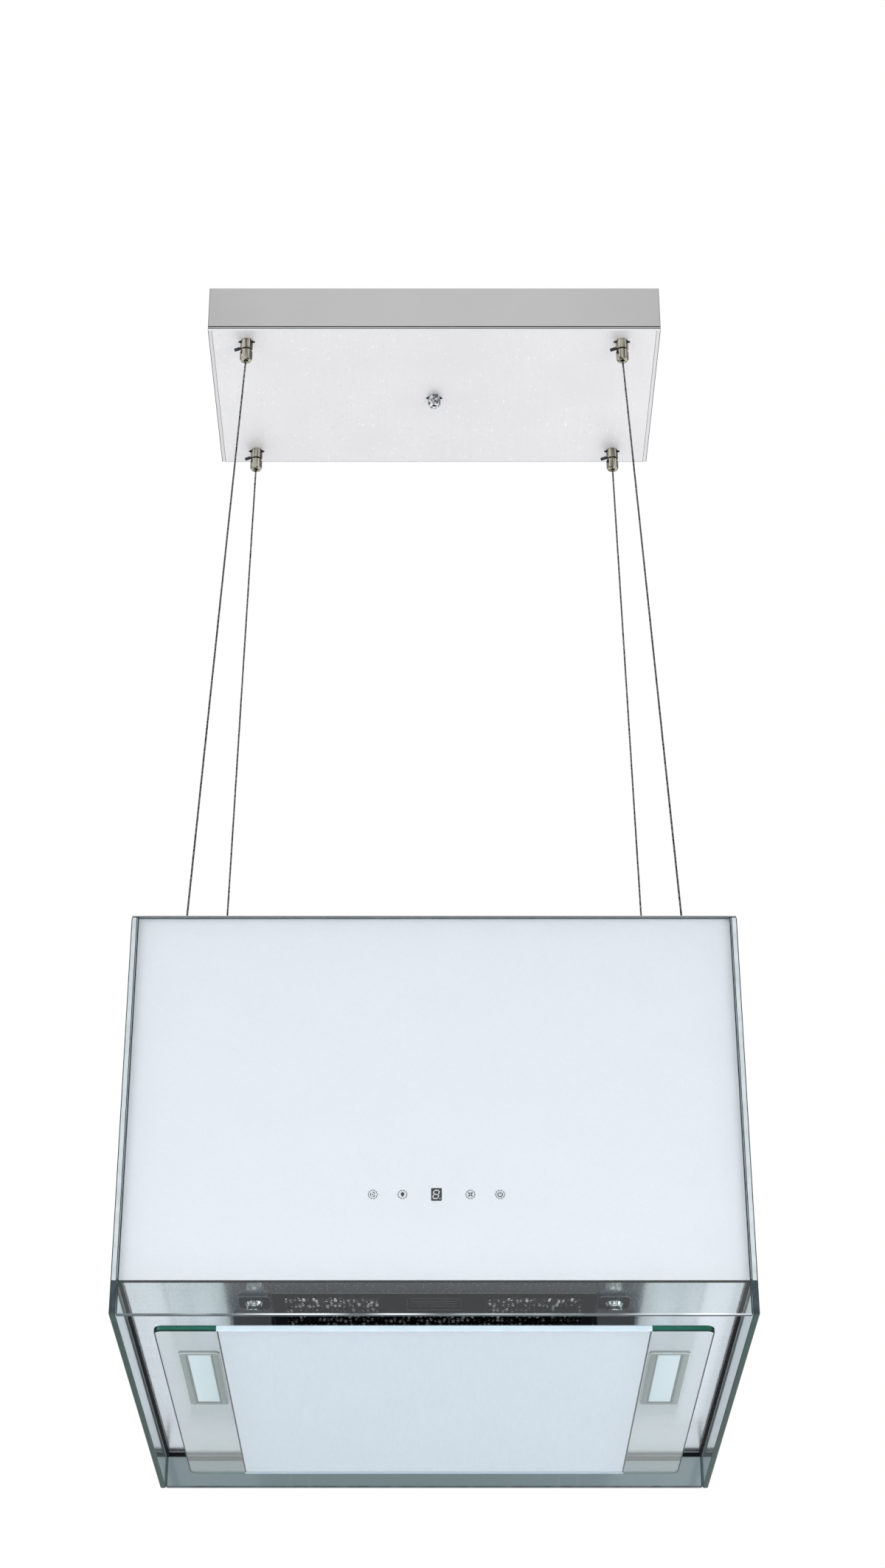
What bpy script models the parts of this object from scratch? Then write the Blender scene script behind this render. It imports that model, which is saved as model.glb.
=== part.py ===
"""Island range hood that hangs from the ceiling on four wire ropes.

Metres, +Z up, -Y is the front with the touch controls. The origin is the middle of the face
that bears on the ceiling. The hood body hangs at its lowest setting and every cover is closed.
"""

import math

import bmesh
import bpy
from mathutils import Matrix, Vector
from mathutils.geometry import tessellate_polygon

# Driving dimensions
BODY_W = 0.600
BODY_D = 0.550
BODY_H = 0.417
COVER_W = 0.538
COVER_D = 0.254
COVER_H = 0.064
DROP = 0.869  # from the ceiling cover's underside to the top of the body
GLASS_T = 0.006
SHEET_T = 0.0012
GAP = 0.0003  # between pieces that touch
CLEAR_BAND = 0.0334  # unprinted band along the glass panels' lower edges
STEEL_H = 0.0383  # underside of the steel base panel, above the glass's lower edge
THREAD_LENGTH = 0.010  # of the glands and anchors, behind the sheet that they clamp
CUT_PAST = 0.01  # how far a cutter reaches past the face that it cuts

# Ceiling bracket: a channel whose flanges carry the grippers
BRACKET_T = 0.002
BRACKET_FOOT = -0.060
FLANGE_INNER_X = 0.198
FLANGE_MARGIN = 0.015  # of the bracket past the grippers, front and rear
THREAD_R = 0.0050
GRIPPER_THREAD = 0.012
CEILING_SLOT = (0.170, 0.080, 0.020, 0.007)  # place in X and Y, width and depth
CORD_PASS = (0.090, 0.022)  # place in X and radius
TERMINAL = (0.150, 0.030, 0.052, 0.024)  # place in X, width, depth and height
WAY_PITCH = 0.012
WAY_R = 0.0022

# Ceiling cover and its cord gland
COVER_WALL = 0.0015
GLAND_R = 0.0079
GLAND_THREAD_R = 0.0072
GLAND_BORE_R = 0.0028

# Suspension
GRIPPER_X = 0.224
GRIPPER_Y = 0.105
ANCHOR_X = 0.252
ANCHOR_Y = 0.215
HEX_APOTHEM = 0.0066
ROPE_R = 0.0011
WAIST = -0.0766  # lower end of a gripper's hexagon
NECK_R = 0.0045
NECK_LENGTH = 0.008
SLEEVE_TRAVEL = 0.002
SLEEVE_LENGTH = 0.0137
SLEEVE_BORE_R = 0.0049
HOLE_R = 0.0086  # clearance holes of the ceiling cover
LOCK_R = 0.0020
LOCK_LENGTH = 0.0060
LOCK_TILT = math.radians(23)  # the lock screws point outwards and down
ANCHOR_HEX_APOTHEM = 0.0072
ANCHOR_FLANGE_R = 0.0090
ANCHOR_HEIGHT = 0.020

# Steel box behind the glass
CHASSIS_HALF_W = 0.2880
CHASSIS_HALF_D = 0.2608
CHASSIS_FOOT = 0.0400  # above the glass's lower edge
OUTLET_HALF_W = 0.100
OUTLET_HALF_D = 0.065
CORD_INLET_Y = 0.200
CORD_THREAD_R = 0.0080
SEAL_STRIP = 0.003
LAMP_CUT_IN = 0.005  # the lamp's opening is this much smaller than its flange

# Suction plate under the body
PLATE_W = 0.526
PLATE_FRONT = -0.230
PLATE_REAR = 0.222
PLATE_CORNER = 0.008
HINGE_X = 0.150
HINGE_Y = 0.208
HINGE_H = 0.0145
HINGE_PIN_R = 0.0020
HINGE_KNUCKLE_R = 0.0045
HINGE_HALF_W = 0.009
CATCH_X = 0.170
CATCH_Y = -0.209
CATCH_BASE_T = 0.003
CATCH_WELL_R = 0.0050

# Grease filter in the base panel
FILTER_W = 0.307
FILTER_FRONT = -0.225
FILTER_REAR = 0.115
FILTER_BORDER = 0.012
FILTER_T = 0.009
HANDLE_W = 0.100
HANDLE_D = 0.048
LATCH_W = 0.051
LATCH_D = 0.024
LATCH_TRAVEL = 0.006

# Lamps in the base panel
LAMP_X = 0.2335
LAMP_Y = 0.0045
LAMP_W = 0.041
LAMP_L = 0.160
LENS_W = 0.023
LENS_L = 0.144

# Blower, whose impeller turns about an axis along Y
FAN_X = -0.095
FAN_H = 0.200  # axis above the glass's lower edge
FAN_HALF_DEPTH = 0.060
SCROLL_MIN = 0.092
SCROLL_MAX = 0.140
TONGUE = math.radians(50)
INLET_R = 0.070
IMPELLER_R = 0.084
BLADES = 18
BLADE_DEPTH = 0.015
SPAN = 0.052  # half the impeller's length
BLOWER_SHEET = 0.0015

# Control electronics
BOARD_H = 0.120  # middle of the touch board, above the glass's lower edge
KEY_R = 0.006
KEYS_X = (-0.060, -0.032, 0.032, 0.060)

GLASS_Z = -(COVER_H + DROP + BODY_H)  # lower edge of the glass panels
BODY_TOP = BODY_H - SHEET_T  # top edge of the glass, above its lower edge
SIDES = {"left": -1, "right": 1}
ENDS = {"front": -1, "rear": 1}

HEXAGON = "hexagon"
world_of = {}  # each empty's place in the world


def clear_scene():
    for obj in list(bpy.data.objects):
        bpy.data.objects.remove(obj, do_unlink=True)


def finish_of(name, colour, roughness, metallic=0.0, transmission=0.0):
    """A Principled material; colour is red, green, blue in linear light."""
    made = bpy.data.materials.new(name)
    made.use_nodes = True
    shader = made.node_tree.nodes["Principled BSDF"]
    shader.inputs["Base Color"].default_value = (*colour, 1.0)
    shader.inputs["Roughness"].default_value = roughness
    shader.inputs["Metallic"].default_value = metallic
    shader.inputs["Transmission Weight"].default_value = transmission
    return made


def height(value):
    """World Z of a height above the glass panels' lower edge."""
    return GLASS_Z + value


def rectangle(x0, y0, x1, y1, corner=0.0, steps=4):
    """A closed outline, anticlockwise, with round corners where corner is given."""
    if corner == 0.0:
        return [(x0, y0), (x1, y0), (x1, y1), (x0, y1)]
    points = []
    centres = ((x1 - corner, y0 + corner), (x1 - corner, y1 - corner),
               (x0 + corner, y1 - corner), (x0 + corner, y0 + corner))
    for quarter, (cx, cy) in enumerate(centres):
        for step in range(steps + 1):
            turn = math.radians(90 * (quarter - 1 + step / steps))
            points.append((cx + corner * math.cos(turn), cy + corner * math.sin(turn)))
    return points


def centred(cx, cy, width, depth, corner=0.0):
    return rectangle(cx - width / 2, cy - depth / 2, cx + width / 2, cy + depth / 2, corner)


def circle(cx, cy, radius, steps=16):
    turns = [2 * math.pi * i / steps for i in range(steps)]
    return [(cx + radius * math.cos(t), cy + radius * math.sin(t)) for t in turns]


def object_of(name, points, faces, smooth=False):
    mesh = bpy.data.meshes.new(name)
    mesh.from_pydata(points, [], faces)
    work = bmesh.new()
    work.from_mesh(mesh)
    bmesh.ops.recalc_face_normals(work, faces=work.faces)
    work.to_mesh(mesh)
    work.free()
    if smooth:
        mesh.shade_smooth()
        mesh.set_sharp_from_angle(angle=math.radians(35))
    made = bpy.data.objects.new(name, mesh)
    bpy.context.collection.objects.link(made)
    return made


def on_axis(axis, a, b, c):
    """World point of (a, b) in the outline's plane and c along the axis."""
    return {"X": (c, a, b), "Y": (a, c, b), "Z": (a, b, c)}[axis]


def extruded(name, outer, holes, low, high, axis="Z", smooth=False):
    """A flat outline with holes, extruded from low to high along the axis."""
    loops = [outer, *holes]
    flat = [point for loop in loops for point in loop]
    count = len(flat)
    points = [on_axis(axis, a, b, c) for c in (low, high) for a, b in flat]
    triangles = tessellate_polygon([[Vector((a, b, 0)) for a, b in loop] for loop in loops])
    faces = [tuple(t) for t in triangles]
    faces += [tuple(i + count for i in t) for t in triangles]
    start = 0
    for loop in loops:
        for i in range(len(loop)):
            here = start + i
            after = start + (i + 1) % len(loop)
            faces.append((here, after, after + count, here + count))
        start += len(loop)
    return object_of(name, points, faces, smooth)


def turned(name, profile, centre, sides=12, axis="Z", smooth=True):
    """A closed profile of (radius, position[, HEXAGON]) turned about an axis through centre.

    A hexagon row's radius is half its width across flats. A radius of 0 is a point on the axis.
    """
    rings = []
    points = []
    for radius, position, *shape in profile:
        if radius == 0.0:
            rings.append([len(points)] * sides)
            points.append(on_axis(axis, 0.0, 0.0, position))
            continue
        rings.append(list(range(len(points), len(points) + sides)))
        for i in range(sides):
            turn = 2 * math.pi * i / sides
            reach = radius
            if shape:
                reach = radius / math.cos(turn % math.radians(60) - math.radians(30))
            points.append(on_axis(axis, reach * math.cos(turn), reach * math.sin(turn), position))
    faces = []
    for this, other in zip(rings, rings[1:] + rings[:1]):
        for i in range(sides):
            j = (i + 1) % sides
            corners = dict.fromkeys((this[i], this[j], other[j], other[i]))
            if len(corners) > 2:
                faces.append(tuple(corners))
    moved = [tuple(a + b for a, b in zip(point, centre)) for point in points]
    return object_of(name, moved, faces, smooth)


def combined(target, others, operation="UNION", solver="EXACT"):
    """Joins or cuts the target with the others, which are used up."""
    for other in others:
        modifier = target.modifiers.new(operation.title(), "BOOLEAN")
        modifier.operation = operation
        modifier.solver = solver
        modifier.object = other
    graph = bpy.context.evaluated_depsgraph_get()
    mesh = bpy.data.meshes.new_from_object(target.evaluated_get(graph))
    target.modifiers.clear()
    old = target.data
    target.data = mesh
    bpy.data.meshes.remove(old)
    mesh.name = target.name
    for other in others:
        bpy.data.meshes.remove(other.data)
    return target


def frame_at(name, place, parent=None):
    """An empty on a joint's axis; pieces that move together hang from it."""
    made = bpy.data.objects.new(name, None)
    made.empty_display_size = 0.05
    bpy.context.collection.objects.link(made)
    world_of[name] = Vector(place)
    made.parent = parent
    made.location = world_of[name] - (world_of[parent.name] if parent else Vector())
    return made


def fitted(obj, material, parent, place=(0.0, 0.0, 0.0)):
    """Gives a piece its material, its own origin at place, and its parent."""
    obj.data.materials.clear()
    obj.data.materials.append(material)
    obj.data.transform(Matrix.Translation(-Vector(place)))
    obj.parent = parent
    obj.location = Vector(place) - world_of[parent.name]
    return obj


def names_at_corners(stem):
    """Name and signs of X and Y for the four corners."""
    return [(f"{stem}_{end}_{side}", sx, sy) for end, sy in ENDS.items() for side, sx in SIDES.items()]


def make_finishes():
    return {
        "stainless": finish_of("brushed_stainless", (0.60, 0.60, 0.61), 0.28, 1.0),
        "galvanised": finish_of("galvanised_steel", (0.42, 0.44, 0.45), 0.45, 1.0),
        "nickel": finish_of("nickel", (0.45, 0.43, 0.36), 0.22, 1.0),
        "chrome": finish_of("chrome", (0.80, 0.80, 0.80), 0.06, 1.0),
        "rope": finish_of("wire_rope", (0.35, 0.35, 0.35), 0.35, 1.0),
        "glass": finish_of("white_printed_glass", (0.76, 0.81, 0.87), 0.05, 0.0, 0.15),
        "lens": finish_of("lamp_lens", (0.62, 0.75, 0.83), 0.25),
        "lamp": finish_of("lamp_frame", (0.32, 0.38, 0.38), 0.35, 0.6),
        "filter": finish_of("filter_steel", (0.10, 0.11, 0.12), 0.35, 0.9),
        "rubber": finish_of("black_seal", (0.015, 0.016, 0.017), 0.6),
        "plastic": finish_of("dark_plastic", (0.035, 0.038, 0.042), 0.45),
        "carbon": finish_of("charcoal_cassette", (0.03, 0.03, 0.03), 0.7),
        "board": finish_of("circuit_board", (0.02, 0.13, 0.06), 0.5),
    }


def build_ceiling_bracket(finish, root):
    """A folded channel: top sheet, two legs and two inward flanges that carry the grippers."""
    half_w = COVER_W / 2 - 0.004
    profile = [
        (-half_w, 0.0), (-half_w, BRACKET_FOOT), (-FLANGE_INNER_X, BRACKET_FOOT),
        (-FLANGE_INNER_X, BRACKET_FOOT + BRACKET_T), (-half_w + BRACKET_T, BRACKET_FOOT + BRACKET_T),
        (-half_w + BRACKET_T, -BRACKET_T), (half_w - BRACKET_T, -BRACKET_T),
        (half_w - BRACKET_T, BRACKET_FOOT + BRACKET_T), (FLANGE_INNER_X, BRACKET_FOOT + BRACKET_T),
        (FLANGE_INNER_X, BRACKET_FOOT), (half_w, BRACKET_FOOT), (half_w, 0.0),
    ]
    flange_d = GRIPPER_Y + FLANGE_MARGIN
    bracket = extruded("ceiling_bracket", profile, [], -flange_d, flange_d, axis="Y")
    cutters = []
    slot_x, slot_y, slot_w, slot_d = CEILING_SLOT
    for _, sx, sy in names_at_corners("hole"):
        hole = circle(sx * GRIPPER_X, sy * GRIPPER_Y, THREAD_R + GAP)
        cutters.append(extruded("cut", hole, [], BRACKET_FOOT - CUT_PAST, BRACKET_FOOT + CUT_PAST))
        slot = centred(sx * slot_x, sy * slot_y, slot_w, slot_d, slot_d / 2 - 0.0001)
        cutters.append(extruded("cut", slot, [], -CUT_PAST, CUT_PAST))
    pass_x, pass_r = CORD_PASS
    cutters.append(extruded("cut", circle(pass_x, 0.0, pass_r), [], -CUT_PAST, CUT_PAST))
    fitted(combined(bracket, cutters, "DIFFERENCE"), finish["galvanised"], root)

    block_x, block_w, block_d, block_h = TERMINAL
    block = extruded("terminal_block", centred(block_x, 0.0, block_w, block_d), [],
                     -block_h, -BRACKET_T - GAP)
    ways = [extruded("cut", circle(block_x, WAY_PITCH * (i - 1.5), WAY_R, 8), [],
                     -block_h - CUT_PAST, -block_h / 2) for i in range(4)]
    fitted(combined(block, ways, "DIFFERENCE"), finish["plastic"], root)


def build_ceiling_cover(finish, root):
    """The box that hides the bracket, open at the top, with the five holes in its underside."""
    cover = extruded("ceiling_cover", centred(0, 0, COVER_W, COVER_D), [], -COVER_H, -GAP)
    inner = centred(0, 0, COVER_W - 2 * COVER_WALL, COVER_D - 2 * COVER_WALL)
    cutters = [extruded("cut", inner, [], COVER_WALL - COVER_H, CUT_PAST)]
    holes = [circle(sx * GRIPPER_X, sy * GRIPPER_Y, HOLE_R) for _, sx, sy in names_at_corners("hole")]
    for hole in [*holes, circle(0, 0, GLAND_THREAD_R + GAP)]:
        cutters.append(extruded("cut", hole, [], -COVER_H - CUT_PAST, -COVER_H + CUT_PAST))
    fitted(combined(cover, cutters, "DIFFERENCE"), finish["stainless"], root)
    gland = [
        (GLAND_THREAD_R, THREAD_LENGTH), (GLAND_THREAD_R, -GAP), (GLAND_R, -GAP), (GLAND_R, -0.0080),
        (GLAND_R - 0.0011, -0.0108), (GLAND_R - 0.0027, -0.0120), (GLAND_BORE_R, -0.0120),
        (GLAND_BORE_R, THREAD_LENGTH),
    ]
    fitted(turned("supply_gland", gland, (0, 0, -COVER_H), 16), finish["chrome"], root)


def build_suspension(finish, root, lift):
    """Grippers with their sprung release sleeves, lock screws, wire ropes and body anchors."""
    seat = BRACKET_FOOT - GAP
    thread_top = seat + GRIPPER_THREAD
    neck_end = WAIST - NECK_LENGTH
    sleeve_top = WAIST - SLEEVE_TRAVEL - GAP
    shoulder = neck_end - SLEEVE_TRAVEL - 0.0005
    sleeve_end = sleeve_top - SLEEVE_LENGTH
    bore = 2 * ROPE_R
    body_profile = [
        (THREAD_R, thread_top), (THREAD_R, seat), (HEX_APOTHEM, seat, HEXAGON),
        (HEX_APOTHEM, WAIST, HEXAGON), (NECK_R, WAIST), (NECK_R, neck_end),
        (bore, neck_end), (bore, thread_top),
    ]
    sleeve_profile = [
        (HEX_APOTHEM, sleeve_top, HEXAGON), (HEX_APOTHEM, sleeve_end + 0.0036, HEXAGON),
        (0.0046, sleeve_end), (0.0026, sleeve_end), (0.0021, shoulder),
        (SLEEVE_BORE_R, shoulder), (SLEEVE_BORE_R, sleeve_top),
    ]
    lock_profile = [(0.0, 0.0), (LOCK_R, 0.0), (LOCK_R, -LOCK_LENGTH + 0.0007),
                    (LOCK_R - 0.0006, -LOCK_LENGTH), (0.0, -LOCK_LENGTH)]
    anchor_base = height(BODY_H + GAP)
    anchor_top = anchor_base + ANCHOR_HEIGHT
    flange_top = anchor_base + 0.004
    anchor_profile = [
        (0.0040, anchor_base - THREAD_LENGTH), (0.0040, anchor_base), (ANCHOR_FLANGE_R, anchor_base),
        (ANCHOR_FLANGE_R, flange_top), (ANCHOR_HEX_APOTHEM, flange_top, HEXAGON),
        (ANCHOR_HEX_APOTHEM, anchor_top - 0.004, HEXAGON), (0.0048, anchor_top),
        (0.0027, anchor_top), (0.0020, flange_top), (0.0020, anchor_base - THREAD_LENGTH),
    ]
    rope_top = sleeve_end + 0.004
    rope_foot = anchor_top - 0.006
    for name, sx, sy in names_at_corners("gripper"):
        x, y = sx * GRIPPER_X, sy * GRIPPER_Y
        fitted(turned(name, body_profile, (x, y, 0)), finish["nickel"], root, (x, y, seat))
    for name, sx, sy in names_at_corners("release_sleeve"):
        x, y = sx * GRIPPER_X, sy * GRIPPER_Y
        travel = frame_at(f"{name}_axis", (x, y, sleeve_top), root)
        sleeve = turned(name, sleeve_profile, (x, y, 0))
        fitted(sleeve, finish["nickel"], travel, (x, y, sleeve_top))
    tilt = Matrix.Rotation(-LOCK_TILT, 4, "Y")
    lock_reach = HEX_APOTHEM / math.cos(math.radians(30)) + LOCK_R * math.sin(LOCK_TILT) + GAP
    for name, sx, sy in names_at_corners("lock_screw"):
        place = (sx * GRIPPER_X - lock_reach, sy * GRIPPER_Y, WAIST + 0.0024)
        screw = turned(name, lock_profile, (0, 0, 0), 8, axis="X")
        screw.data.transform(Matrix.Translation(place) @ tilt)
        fitted(screw, finish["nickel"], root, place)
    for name, sx, sy in names_at_corners("cable_anchor"):
        x, y = sx * ANCHOR_X, sy * ANCHOR_Y
        anchor = turned(name, anchor_profile, (x, y, 0))
        fitted(anchor, finish["nickel"], lift, (x, y, anchor_base))
    for name, sx, sy in names_at_corners("cable"):
        top = Vector((sx * GRIPPER_X, sy * GRIPPER_Y, rope_top))
        foot = Vector((sx * ANCHOR_X, sy * ANCHOR_Y, rope_foot))
        line = bpy.data.curves.new(name, "CURVE")
        line.dimensions = "3D"
        line.bevel_depth = ROPE_R
        line.bevel_resolution = 2
        line.use_fill_caps = True
        spline = line.splines.new("POLY")
        spline.points.add(1)
        spline.points[0].co = (0.0, 0.0, 0.0, 1.0)
        spline.points[1].co = (*(foot - top), 1.0)
        line.materials.append(finish["rope"])
        cable = bpy.data.objects.new(name, line)
        bpy.context.collection.objects.link(cable)
        cable.parent = root
        cable.location = top


def build_glass(finish, lift):
    """Four panels; the side panels cover the ends of the front and rear ones."""
    half_w, half_d = BODY_W / 2, BODY_D / 2
    inside = half_w - GLASS_T - GAP
    for end, sign in ENDS.items():
        low, high = sorted((sign * half_d, sign * (half_d - GLASS_T)))
        outline = rectangle(-inside, height(0.0), inside, height(BODY_TOP - GAP))
        panel = extruded(f"glass_{end}", outline, [], low, high, axis="Y")
        fitted(panel, finish["glass"], lift, (0, low, height(0.0)))
    for side, sign in SIDES.items():
        low, high = sorted((sign * half_w, sign * (half_w - GLASS_T)))
        outline = rectangle(-half_d, height(0.0), half_d, height(BODY_TOP - GAP))
        panel = extruded(f"glass_{side}", outline, [], low, high, axis="X")
        fitted(panel, finish["glass"], lift, (low, 0, height(0.0)))


def build_chassis(finish, lift):
    """The steel box behind the glass, its top panel with the outlet, and the base panel."""
    half_w, half_d = CHASSIS_HALF_W, CHASSIS_HALF_D
    foot, head = height(CHASSIS_FOOT), height(BODY_TOP - 0.0004)
    for end, sign in ENDS.items():
        low, high = sorted((sign * half_d, sign * (half_d - SHEET_T)))
        outline = rectangle(-half_w + 0.002, foot, half_w - 0.002, head)
        wall = extruded(f"chassis_{end}", outline, [], low, high, axis="Y")
        fitted(wall, finish["galvanised"], lift, (0, low, foot))
    for side, sign in SIDES.items():
        low, high = sorted((sign * half_w, sign * (half_w - SHEET_T)))
        outline = rectangle(-half_d - 0.004, foot, half_d + 0.004, head)
        wall = extruded(f"chassis_{side}", outline, [], low, high, axis="X")
        fitted(wall, finish["galvanised"], lift, (low, 0, foot))

    outlet = rectangle(-OUTLET_HALF_W, -OUTLET_HALF_D, OUTLET_HALF_W, OUTLET_HALF_D)
    anchors = [circle(sx * ANCHOR_X, sy * ANCHOR_Y, 0.0044, 12) for _, sx, sy in names_at_corners("a")]
    cord_hole = circle(0.0, CORD_INLET_Y, CORD_THREAD_R + 0.0004)
    top = extruded("top_panel", centred(0, 0, BODY_W - 0.001, BODY_D - 0.001),
                   [outlet, cord_hole, *anchors], height(BODY_TOP), height(BODY_H))
    fitted(top, finish["stainless"], lift, (0, 0, height(BODY_H)))

    seat = BODY_H + GAP
    slots = [centred(0, 0.015 * (i - 3.5), 0.190, 0.010) for i in range(8)]
    grille = extruded("outlet_grille", centred(0, 0, 0.230, 0.160, 0.008), slots,
                      height(seat), height(seat + 0.003))
    fitted(grille, finish["stainless"], lift, (0, 0, height(seat)))

    inlet_profile = [
        (CORD_THREAD_R, seat - THREAD_LENGTH), (CORD_THREAD_R, seat), (0.0110, seat),
        (0.0110, seat + 0.008), (0.0085, seat + 0.015), (0.0036, seat + 0.015),
        (0.0036, seat - THREAD_LENGTH),
    ]
    inlet = turned("cord_inlet", inlet_profile, (0, CORD_INLET_Y, GLASS_Z))
    fitted(inlet, finish["plastic"], lift, (0, CORD_INLET_Y, height(seat)))

    reach_x = BODY_W / 2 - GLASS_T - GAP
    reach_y = BODY_D / 2 - GLASS_T - GAP
    opening = rectangle(-FILTER_W / 2 - 0.0005, FILTER_FRONT - 0.0005,
                        FILTER_W / 2 + 0.0005, FILTER_REAR + 0.0005)
    lamp_cuts = [centred(s * LAMP_X, LAMP_Y, LAMP_W - LAMP_CUT_IN, LAMP_L - LAMP_CUT_IN)
                 for s in (-1, 1)]
    base = extruded("base_panel", rectangle(-reach_x, -reach_y, reach_x, reach_y),
                    [opening, *lamp_cuts], height(STEEL_H), height(STEEL_H + SHEET_T))
    fitted(base, finish["stainless"], lift, (0, 0, height(STEEL_H)))

    inner = rectangle(SEAL_STRIP - reach_x, SEAL_STRIP - reach_y,
                      reach_x - SEAL_STRIP, reach_y - SEAL_STRIP)
    seal = extruded("perimeter_seal", rectangle(-reach_x, -reach_y, reach_x, reach_y),
                    [inner], height(CLEAR_BAND), height(STEEL_H - GAP))
    fitted(seal, finish["rubber"], lift, (0, 0, height(CLEAR_BAND)))


def build_filter(finish, lift):
    """Grease filter: frame with its handle plate, perforated panel and sliding latch."""
    low, high = STEEL_H, STEEL_H + FILTER_T
    left, right = -FILTER_W / 2, FILTER_W / 2
    window_front = FILTER_FRONT + FILTER_BORDER
    handle_rear = window_front + HANDLE_D
    half = HANDLE_W / 2
    edge = FILTER_BORDER

    def window(shrink):
        """The frame's opening, which passes behind the handle plate."""
        s = shrink
        return [
            (left + edge + s, window_front + s), (-half - s, window_front + s),
            (-half - s, handle_rear + s), (half + s, handle_rear + s),
            (half + s, window_front + s), (right - edge - s, window_front + s),
            (right - edge - s, FILTER_REAR - edge - s), (left + edge + s, FILTER_REAR - edge - s),
        ]

    pocket_front = window_front + 0.002
    pocket = rectangle(-LATCH_W / 2 - GAP, pocket_front, LATCH_W / 2 + GAP,
                       pocket_front + LATCH_D + LATCH_TRAVEL + 2 * GAP)
    frame = extruded("filter_frame", rectangle(left, FILTER_FRONT, right, FILTER_REAR),
                     [window(0.0), pocket], height(low), height(high))
    fitted(frame, finish["filter"], lift, (0, FILTER_FRONT, height(low)))
    mesh = extruded("filter_mesh", window(0.0005), [], height(low + 0.001), height(high - 0.001))
    fitted(mesh, finish["filter"], lift, (0, FILTER_FRONT, height(low)))

    travel = frame_at("filter_latch_axis", (0, pocket_front, height(low)), lift)
    grip = centred(0, pocket_front + GAP + LATCH_D / 2, LATCH_W, LATCH_D, 0.004)
    finger = centred(0, pocket_front + GAP + LATCH_D / 2, LATCH_W - 0.012, LATCH_D - 0.014, 0.003)
    latch = extruded("filter_latch", grip, [], height(low), height(high - 0.002))
    hollow = extruded("cut", finger, [], height(low - 0.01), height(low + 0.003))
    fitted(combined(latch, [hollow], "DIFFERENCE"), finish["filter"], travel,
           (0, pocket_front, height(low)))


def build_lamps(finish, lift):
    for side, sign in SIDES.items():
        x = sign * LAMP_X
        window = centred(x, LAMP_Y, LENS_W, LENS_L)
        flange = extruded(f"lamp_frame_{side}", centred(x, LAMP_Y, LAMP_W, LAMP_L, 0.005),
                          [window], height(STEEL_H - GAP - 0.0015), height(STEEL_H - GAP))
        case = extruded("case", centred(x, LAMP_Y, LAMP_W - 0.006, LAMP_L - 0.006),
                        [window], height(STEEL_H - GAP - 0.0007), height(STEEL_H + 0.016))
        fitted(combined(flange, [case]), finish["lamp"], lift, (x, LAMP_Y, height(STEEL_H)))
        lens = extruded(f"lamp_lens_{side}", centred(x, LAMP_Y, LENS_W - 2 * GAP, LENS_L - 2 * GAP),
                        [], height(STEEL_H - 0.0010), height(STEEL_H + 0.002))
        fitted(lens, finish["lens"], lift, (x, LAMP_Y, height(STEEL_H)))


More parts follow.
